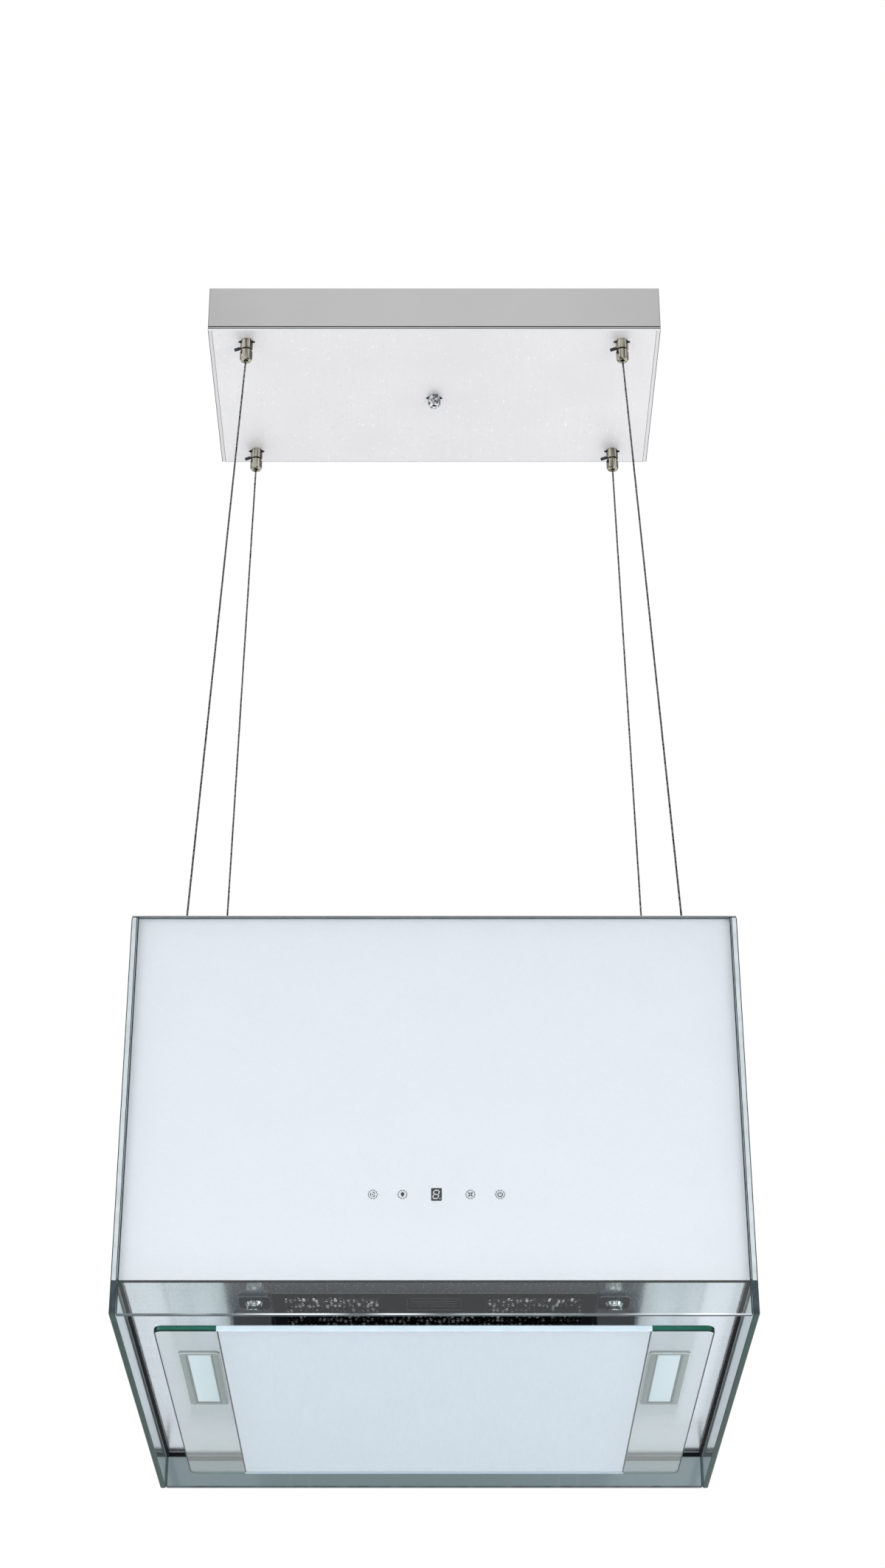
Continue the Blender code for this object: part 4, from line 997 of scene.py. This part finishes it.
def make_filter():
    """Filter frame with its handle plate, expanded metal over wire wool, and the sliding latch."""
    low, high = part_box("filter_frame")
    latch_low, latch_high, middle, half = box_of("filter_latch")
    border, handle_half, handle_depth = 0.012, 0.05, 0.048
    left, right = low.x + border, high.x - border
    front, rear = low.y + border, high.y - border
    handle_rear = front + handle_depth

    def window(slack):
        """The frame's opening round the handle plate, wider by slack at both sides of each part."""
        step = handle_half + slack
        return [(left + slack, front), (-step, front), (-step, handle_rear), (step, handle_rear),
                (step, front), (right - slack, front), (right - slack, rear), (left + slack, rear)]

    gap, travel = 0.0003, 0.006
    pocket = rectangle(latch_low.x - gap, latch_low.y - gap, latch_high.x + gap, latch_high.y + travel + gap,
                       0.002, 3)
    body = extruded("filter_surround", rectangle(low.x, low.y, high.x, high.y, 0.0015, 4),
                    [window(0.0), pocket], low.z, high.z, Z, 0.0006)
    paint_rim_highlights(body)
    placed(body, "filter filter_line", "hood_body", "filter_steel", "filter_frame")

    margin = 0.0022

    def inside(x, y):
        if not (left + margin < x < right - margin and front + margin < y < rear - margin):
            return False
        return not (abs(x) < handle_half + margin and y < handle_rear + margin)

    sheet = expanded_sheet("filter_expanded_metal", left, front, right, rear, inside, 0.005,
                           low.z + 0.0005, low.z + 0.0024)
    placed(sheet, "mesh", "hood_body", "filter_steel")
    pad = extruded("filter_pad", window(0.0005), [], low.z + 0.0042, high.z - 0.001)
    placed(pad, "wool", "hood_body", "filter_steel", "filter_mesh")

    pockets = [centred(middle.x, middle.y + 0.0066 * k, 2 * half.x - 0.008, 0.0036, 0.0017, 5)
               for k in (-1, 0, 1)]
    grip = recessed("latch_grip", centred(middle.x, middle.y, 2 * half.x, 2 * half.y, 0.004), pockets,
                    latch_low.z, latch_high.z, 0.0016, 0.0005)
    paint_rim_highlights(grip)
    placed(grip, "latch filter_line", "filter_latch", "filter_steel", "filter_latch")


def make_lamps():
    """Flush lamps: a stepped metal frame round a frosted lens."""
    for side, _ in SIDES:
        low, high, middle, half = box_of(f"lamp_frame_{side}")
        lens_low, lens_high, _, lens_half = box_of(f"lamp_lens_{side}")
        x, y, in_x, in_y = middle.x, middle.y, lens_half.x + 0.0003, lens_half.y + 0.0003
        flange, lip, body = 0.0015, 0.0009, 0.003
        rows = [(half.x - inset, half.y - inset, z)
                for inset, z in ((0.0, low.z + flange), (0.0, low.z + 0.0005), (lip, low.z))]
        rows += [(in_x + step, in_y + step, z)
                 for step, z in ((0.0022, low.z), (0.0016, low.z + 0.0005), (0.0, low.z + 0.0008),
                                 (0.0, high.z))]
        rows += [(half.x - body, half.y - body, z) for z in (high.z, low.z + flange)]
        surround = framed(f"lamp_surround_{side}", x, y, rows, 0.005)
        paint_rim_highlights(surround)
        # Faces at the step next to the lens get the third finish, the dark glass edge, as painted shade.
        for polygon in surround.data.polygons:
            at = polygon.center
            if abs(at.x - x) < in_x + 0.002 and abs(at.y - y) < in_y + 0.002:
                polygon.material_index = 2
        placed(surround, "lamp lamp_line edge_dark", "hood_body", "lamp_frame", f"lamp_frame_{side}")
        outline = rectangle(lens_low.x, lens_low.y, lens_high.x, lens_high.y, 0.0004, 3)
        lens = extruded(f"lamp_diffuser_{side}", outline, [], lens_low.z, lens_high.z, Z, 0.0004, 3)
        placed(lens, "lens", "hood_body", "lamp_lens", f"lamp_lens_{side}")


# ---------------- top and inner parts

def make_top():
    """Outlet grille with rounded bars, its screws, and the ribbed cord inlet."""
    low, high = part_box("outlet_grille")
    fixings = [(sx * 0.105, sy * 0.07) for sx in (-1, 1) for sy in (-1, 1)]
    slots = [centred(0.0, 0.015 * (i - 3.5), 0.19, 0.01, 0.0049, 6) for i in range(8)]
    holes = [circle(x, y, 0.0017, 20) for x, y in fixings]
    grille = extruded("grille_plate", rectangle(low.x, low.y, high.x, high.y, 0.008), [*slots, *holes],
                      low.z, high.z, Z, 0.0006, 3)
    placed(grille, "top", "hood_body", "stainless", "outlet_grille")
    foot, top = low.z + 0.0012, high.z
    rows = [(0.0, foot), (0.0014, foot), (0.0014, top + 0.0001), (0.003, top + 0.0001),
            (0.0029, top + 0.0006), (0.002, top + 0.0012), (0.0008, top + 0.0013), (0.0007, top + 0.0008),
            (0.0, top + 0.0008)]
    for k, (x, y) in enumerate(fixings):
        placed(turned(f"grille_screw_{k + 1}", rows, (x, y, 0), 24), "nickel", "hood_body", "nickel")

    low, high, middle, _ = box_of("cord_inlet")
    seat, rib = low.z + 0.01, 0.0012
    rows = [(0.008, low.z), (0.008, seat), (0.0106, seat), (0.011, seat + 0.0005), (0.011, seat + 0.003)]
    for k in range(5):
        level, reach = seat + 0.0032 + 2 * rib * k, 0.0098 - 0.0008 * k
        rows += [(reach - 0.0008, level), (reach, level + 0.0003), (reach, level + rib),
                 (reach - 0.0008, level + rib + 0.0003)]
    rows += [(0.0048, high.z), (0.0037, high.z), (0.0036, low.z)]
    inlet = turned("cord_bush", rows, (middle.x, middle.y, 0), 40)
    placed(inlet, "rubber", "hood_body", "dark_plastic", "cord_inlet")


def paint_the_rest():
    """Better finishes on the CAD nodes that stay as they are."""
    for key, nodes in (
            ("zinc", "ceiling_bracket chassis_front chassis_rear chassis_left chassis_right blower_housing "
                     "fan_motor hinge_bracket_left hinge_bracket_right hinge_leaf_left hinge_leaf_right"),
            ("base", "base_panel"), ("top", "top_panel"),
            ("plastic", "terminal_block impeller electronics_box"),
            ("carbon", "charcoal_filter_front charcoal_filter_rear"), ("board", "touch_board")):
        for node in nodes.split():
            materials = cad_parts[node].data.materials
            materials.clear()
            materials.append(FINISH[key])


make_camera()
make_world()
make_stage()
make_cover()
make_gland()
make_grippers()
make_anchors()
for corner_name in CORNERS:
    make_rope(corner_name)
make_glass()
make_seal()
make_controls()
make_suction_plate()
make_catches()
make_filter()
make_lamps()
make_top()
paint_the_rest()
